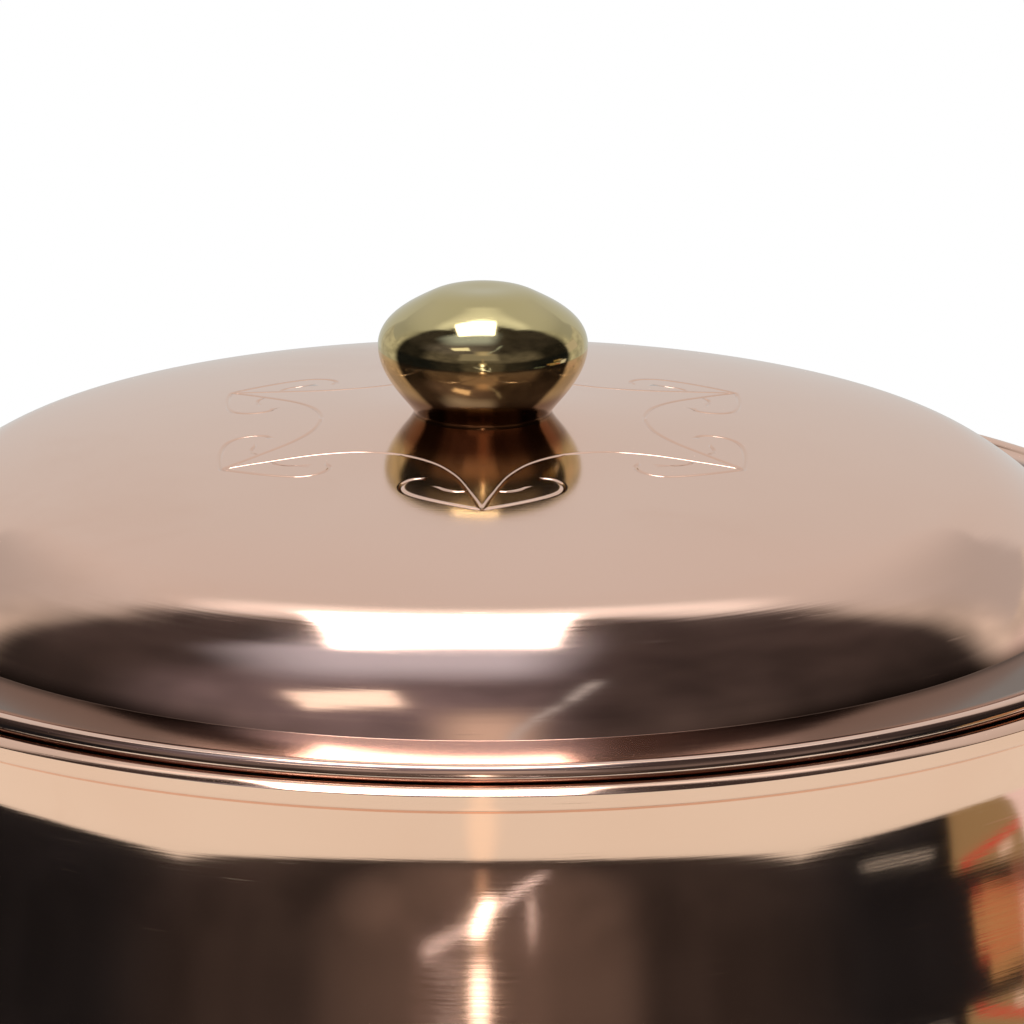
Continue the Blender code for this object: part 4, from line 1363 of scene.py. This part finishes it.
roomLooks = {
    # a colour, then others laid over it: colour, and the axes along which it starts and is full
    "low": ((0.012, 0.013, 0.015), (
        ((0.038, 0.033, 0.031), ("Y", -0.45, -0.8)),
        ((0.120, 0.100, 0.088), ("Y", -0.88, -0.975)),
        ((0.026, 0.023, 0.022), ("Z", 0.05, 0.25)),
        ((0.15, 0.13, 0.12), ("Z", 0.10, 0.25), ("Y", -0.22, -0.5)),
    )),
    "overhead": ((0.052, 0.044, 0.043), (
        ((0.175, 0.155, 0.175), ("X", 0.35, -0.05), ("Y", -0.02, -0.38)),
    )),
    "overheadFrom": ("Z", 0.45, 0.75),
    "behind": ((0.60, 0.58, 0.52), ("Y", 0.24, 0.42)),
    "cloudScale": 6.0,
    "cloudRange": (0.3, 0.7),
    "cloudStrength": (0.78, 1.22),
    "radius": 6.0,
    "segments": (48, 24),
}


def makeDarkRoom():
    # dim surroundings, lighter up on the left, low in front and behind
    r = roomLooks
    material, tree, surface = newStageMaterial("darkRoom")
    way = node(tree, "ShaderNodeVectorMath", operation="NORMALIZE")
    feed(tree, objectPlace(tree)[0], way.inputs[0])
    parts = partsOf(tree, way.outputs[0])

    def laid(colour, layers):
        for tint, *ranges in layers:
            masks = [spread(tree, parts[axis], start, full) for axis, start, full in ranges]
            mask = masks[0] if len(masks) == 1 else times(tree, *masks)
            colour = blendColour(tree, mask, colour, tint)
        return colour

    axis, start, full = r["overheadFrom"]
    height = spread(tree, parts[axis], start, full)
    surroundings = blendColour(tree, height, laid(*r["low"]), laid(*r["overhead"]))
    clouds = noise(tree, Vector=way.outputs[0], Scale=r["cloudScale"], Detail=4.0)
    glow = node(tree, "ShaderNodeEmission")
    fill(tree, glow, Color=laid(surroundings, [r["behind"]]),
         Strength=spread(tree, clouds, *r["cloudRange"], *r["cloudStrength"]))
    feed(tree, glow.outputs[0], surface)
    material.cycles.emission_sampling = "NONE"
    bm = bmesh.new()
    columns, rows = r["segments"]
    bmesh.ops.create_uvsphere(bm, u_segments=columns, v_segments=rows, radius=r["radius"])
    room = newObject("darkRoom", meshFrom("darkRoom", bm))
    room.data.materials.append(material)
    onlyMirrored(room)


canopyLooks = {
    "height": 2.03,
    "size": (12.0, 7.0),
    "front": (0.37, 0.68, 0.62),          # front edge: place at the middle, where it swings back, its slope
    "soft": (0.07, 0.62, 1.15, 2.1),      # half width of the soft edge in the middle and outside, and between
    "colour": (0.99, 1.0, 0.98),
    "glow": (0.66, 0.48, 0.9, 2.3),       # strength in the middle and outside, and between
    "strip": (0.45, 0.62, 0.30),          # brighter strip along the front: more strength, place, half width
    "stripEnds": (1.10, 0.70),            # distances from the middle where the strip has ended and is full
}


def makeCanopy():
    # pale sheet overhead and behind, which the dome of the lid mirrors
    c = canopyLooks
    material, tree, surface = newStageMaterial("paleCanopy")
    parts = objectPlace(tree)[1]
    sideways = maths(tree, "ABSOLUTE", parts["X"])
    middle, bend, slope = c["front"]
    swing = maths(tree, "MAXIMUM", minus(tree, sideways, bend), 0.0)
    inside = minus(tree, parts["Y"], plus(tree, times(tree, swing, slope), middle))

    def outwards(middleValue, sideValue, start, full):
        return spread(tree, sideways, start, full, middleValue, sideValue)

    mask = spread(tree, maths(tree, "DIVIDE", inside, outwards(*c["soft"])), -1.0, 1.0)
    more, line, width = c["strip"]
    away = maths(tree, "ABSOLUTE", minus(tree, parts["Y"], line))
    strip = times(tree, spread(tree, away, width, 0.0), spread(tree, sideways, *c["stripEnds"]))
    strength = plus(tree, outwards(*c["glow"]), times(tree, strip, more))
    glowWithin(material, tree, surface, mask, c["colour"], strength)
    x, y = c["size"][0] / 2, c["size"][1]
    canopy = stageMesh("paleCanopy", rectangle(-x, x, 0, y), material)
    canopy.location = (0, 0, c["height"])
    onlyMirrored(canopy)


def makeCard(name, centre, size, turn, colour, strength, soft, lean=0.0):
    # glowing card seen only in the metal; soft edges in metres at the left, right, near and far side
    material, tree, surface = newStageMaterial(name)
    parts = objectPlace(tree)[1]
    skewed = minus(tree, parts["X"], times(tree, parts["Y"], lean))
    mask = None
    for value, half, edges in ((skewed, size[0] / 2, soft[:2]), (parts["Y"], size[1] / 2, soft[2:])):
        for side, edge in zip((-half, half), edges):
            step = spread(tree, value, side, side + math.copysign(edge, -side))
            mask = step if mask is None else times(tree, mask, step)
    glowWithin(material, tree, surface, mask, colour, strength)
    x, y = size[0] / 2 + abs(lean) * size[1] / 2, size[1] / 2
    card = stageMesh(name, rectangle(-x, x, -y, y), material)
    card.location = centre
    card.rotation_euler = [math.radians(a) for a in turn]
    onlyMirrored(card)


def makeLamp():
    light = bpy.data.lights.new("overheadSoftLight", "AREA")
    light.shape = "RECTANGLE"
    light.size, light.size_y = stageLooks["lampSize"]
    light.energy = stageLooks["lampPower"]
    lamp = newObject("overheadSoftLight", light)
    lamp.location = stageLooks["lampPlace"]
    lamp.visible_glossy = False


cards = (
    # name, centre, size, turn, colour, strength, soft edges, lean
    ("backdropWall", (0.05, 3.2, 1.1), (4.6, 3.6), (90, 0, 0), (0.98, 1.0, 0.98), 0.66,
     (0.4, 0.4, 0.2, 0.1)),
    ("sideWall", (4.4, 2.4, 0.9), (2.4, 1.7), (90, 0, 90), (1.0, 0.90, 0.85), 0.70, (0.5, 0.4, 0.3, 0.3)),
    ("ceilingGlow", (-0.45, -0.42, 2.02), (1.9, 1.15), (0, 0, 0), (0.62, 0.70, 0.85), 0.9,
     (0.9, 0.45, 0.6, 0.25)),
    ("overheadSoftBox", (-0.14, 0.22, 2.0), (0.80, 0.66), (0, 0, 0), (1.0, 1.0, 1.0), 6.0,
     (0.03, 0.03, 0.06, 0.05)),
    ("sideWindow", (-0.81, -1.24, 2.0), (0.72, 0.43), (0, 0, 0), (1.0, 0.95, 0.86), 1.45,
     (0.03, 0.03, 0.03, 0.03)),
    ("frontGlow", (0.03, -2.10, 2.03), (1.1, 1.5), (0, 0, 0), (1.0, 0.85, 0.72), 0.65,
     (0.5, 0.5, 0.6, 0.6)),
    ("frontWall", (-0.35, -3.6, 2.35), (3.6, 2.3), (90, 0, 0), (1.0, 0.90, 0.84), 0.35,
     (0.6, 0.6, 0.4, 0.3)),
    ("ceilingBeamNear", (0.345, -1.75, 2.01), (0.10, 0.90), (0, 0, -21), (0.85, 0.95, 1.0), 0.60,
     (0.04, 0.04, 0.1, 0.1)),
    ("ceilingBeamFar", (0.53, -1.07, 2.01), (0.12, 0.62), (0, 0, -6), (0.85, 0.95, 1.0), 0.60,
     (0.05, 0.05, 0.1, 0.15)),
    ("warmGap", (0.0, -3.00, 0.35), (0.11, 2.9), (90, 0, 0), (1.0, 0.74, 0.52), 0.65,
     (0.045, 0.045, 0.5, 0.5)),
    ("lowGlint", (0.01, -2.99, -0.28), (0.17, 0.48), (90, 0, 0), (1.0, 0.95, 0.88), 5.0,
     (0.06, 0.06, 0.14, 0.10), -0.33),
    ("highGlint", (-0.02, -2.98, 0.34), (0.20, 0.62), (90, 0, 0), (1.0, 0.93, 0.84), 4.0,
     (0.07, 0.07, 0.16, 0.2)),
    ("rightGlint", (0.33, -2.97, -0.59), (0.74, 0.06), (90, 49, 0), (1.0, 1.0, 1.05), 2.4,
     (0.15, 0.25, 0.03, 0.03)),
    ("leftGlint", (-0.25, -2.96, -0.085), (0.52, 0.038), (90, 26, 0), (1.0, 1.0, 1.05), 3.2,
     (0.05, 0.08, 0.018, 0.018)),
    ("returnGlint", (-0.27, -2.95, 0.105), (0.28, 0.026), (90, -14.6, 0), (1.0, 1.0, 1.05), 1.2,
     (0.08, 0.05, 0.01, 0.01)),
    ("thinGlint", (0.39, -2.94, -0.26), (0.020, 0.68), (90, 0, 0), (1.0, 0.98, 1.0), 3.2,
     (0.007, 0.007, 0.25, 0.3)),
    ("frontBeam", (0.0, -3.02, 0.50), (0.60, 0.75), (90, 0, 0), (1.0, 0.80, 0.60), 0.8,
     (0.28, 0.28, 0.3, 0.2)),
    ("khakiHigh", (2.0, -0.09, -0.52), (0.60, 0.68), (90, 0, 90), (0.33, 0.27, 0.14), 0.9,
     (0.01, 0.04, 0.01, 0.01), -0.15),
    ("khakiLow", (2.0, -0.07, -0.05), (0.38, 0.13), (90, 0, 90), (0.43, 0.29, 0.13), 0.95,
     (0.02, 0.02, 0.01, 0.01)),
    ("brownGap", (2.0, 0.10, -0.15), (0.24, 0.09), (90, 0, 90), (0.19, 0.10, 0.07), 0.9,
     (0.02, 0.02, 0.01, 0.01)),
    ("paleHigh", (1.99, 0.27, -0.43), (0.32, 0.60), (90, 0, 90), (1.0, 0.93, 0.95), 0.85,
     (0.02, 0.03, 0.02, 0.02), 0.174),
    ("paleLow", (1.99, 0.12, -0.070), (0.22, 0.055), (90, 0, 90), (1.0, 0.85, 0.76), 0.80,
     (0.02, 0.02, 0.01, 0.01)),
    ("paleTag", (1.985, -0.02, -0.24), (0.13, 0.05), (90, 14, 90), (1.0, 0.90, 0.78), 0.75,
     (0.01, 0.01, 0.01, 0.01)),
    ("redCordHigh", (1.98, -0.12, -0.27), (0.52, 0.030), (90, 16.2, 90), (0.95, 0.03, 0.05), 0.75,
     (0.01, 0.01, 0.004, 0.004)),
    ("nearTag", (0.49, -0.085, 0.0900), (0.13, 0.020), (90, 0, 90), (0.46, 0.31, 0.14), 0.95,
     (0.006, 0.006, 0.001, 0.001)),
    ("nearCord", (0.489, -0.082, 0.0765), (0.13, 0.0032), (90, 2, 90), (0.95, 0.03, 0.05), 0.75,
     (0.004, 0.004, 0.0008, 0.0008)),
    ("tableEdge", (0.692, -0.335, -0.015), (0.20, 0.026), (0, 0, 69.6), (0.90, 1.0, 0.92), 1.25,
     (0.03, 0.03, 0.006, 0.006)),
    ("sheetGleam", (0.0, -0.27, 0.0005), (0.030, 0.27), (0, 0, 0), (1.0, 0.95, 0.80), 1.05,
     (0.012, 0.012, 0.02, 0.05)),
)


makeWorld()
makeFloor()
makeDarkRoom()
makeCanopy()
for card in cards:
    makeCard(*card)
makeLamp()
bpy.context.scene.view_settings.view_transform = "Standard"
print("stage made")
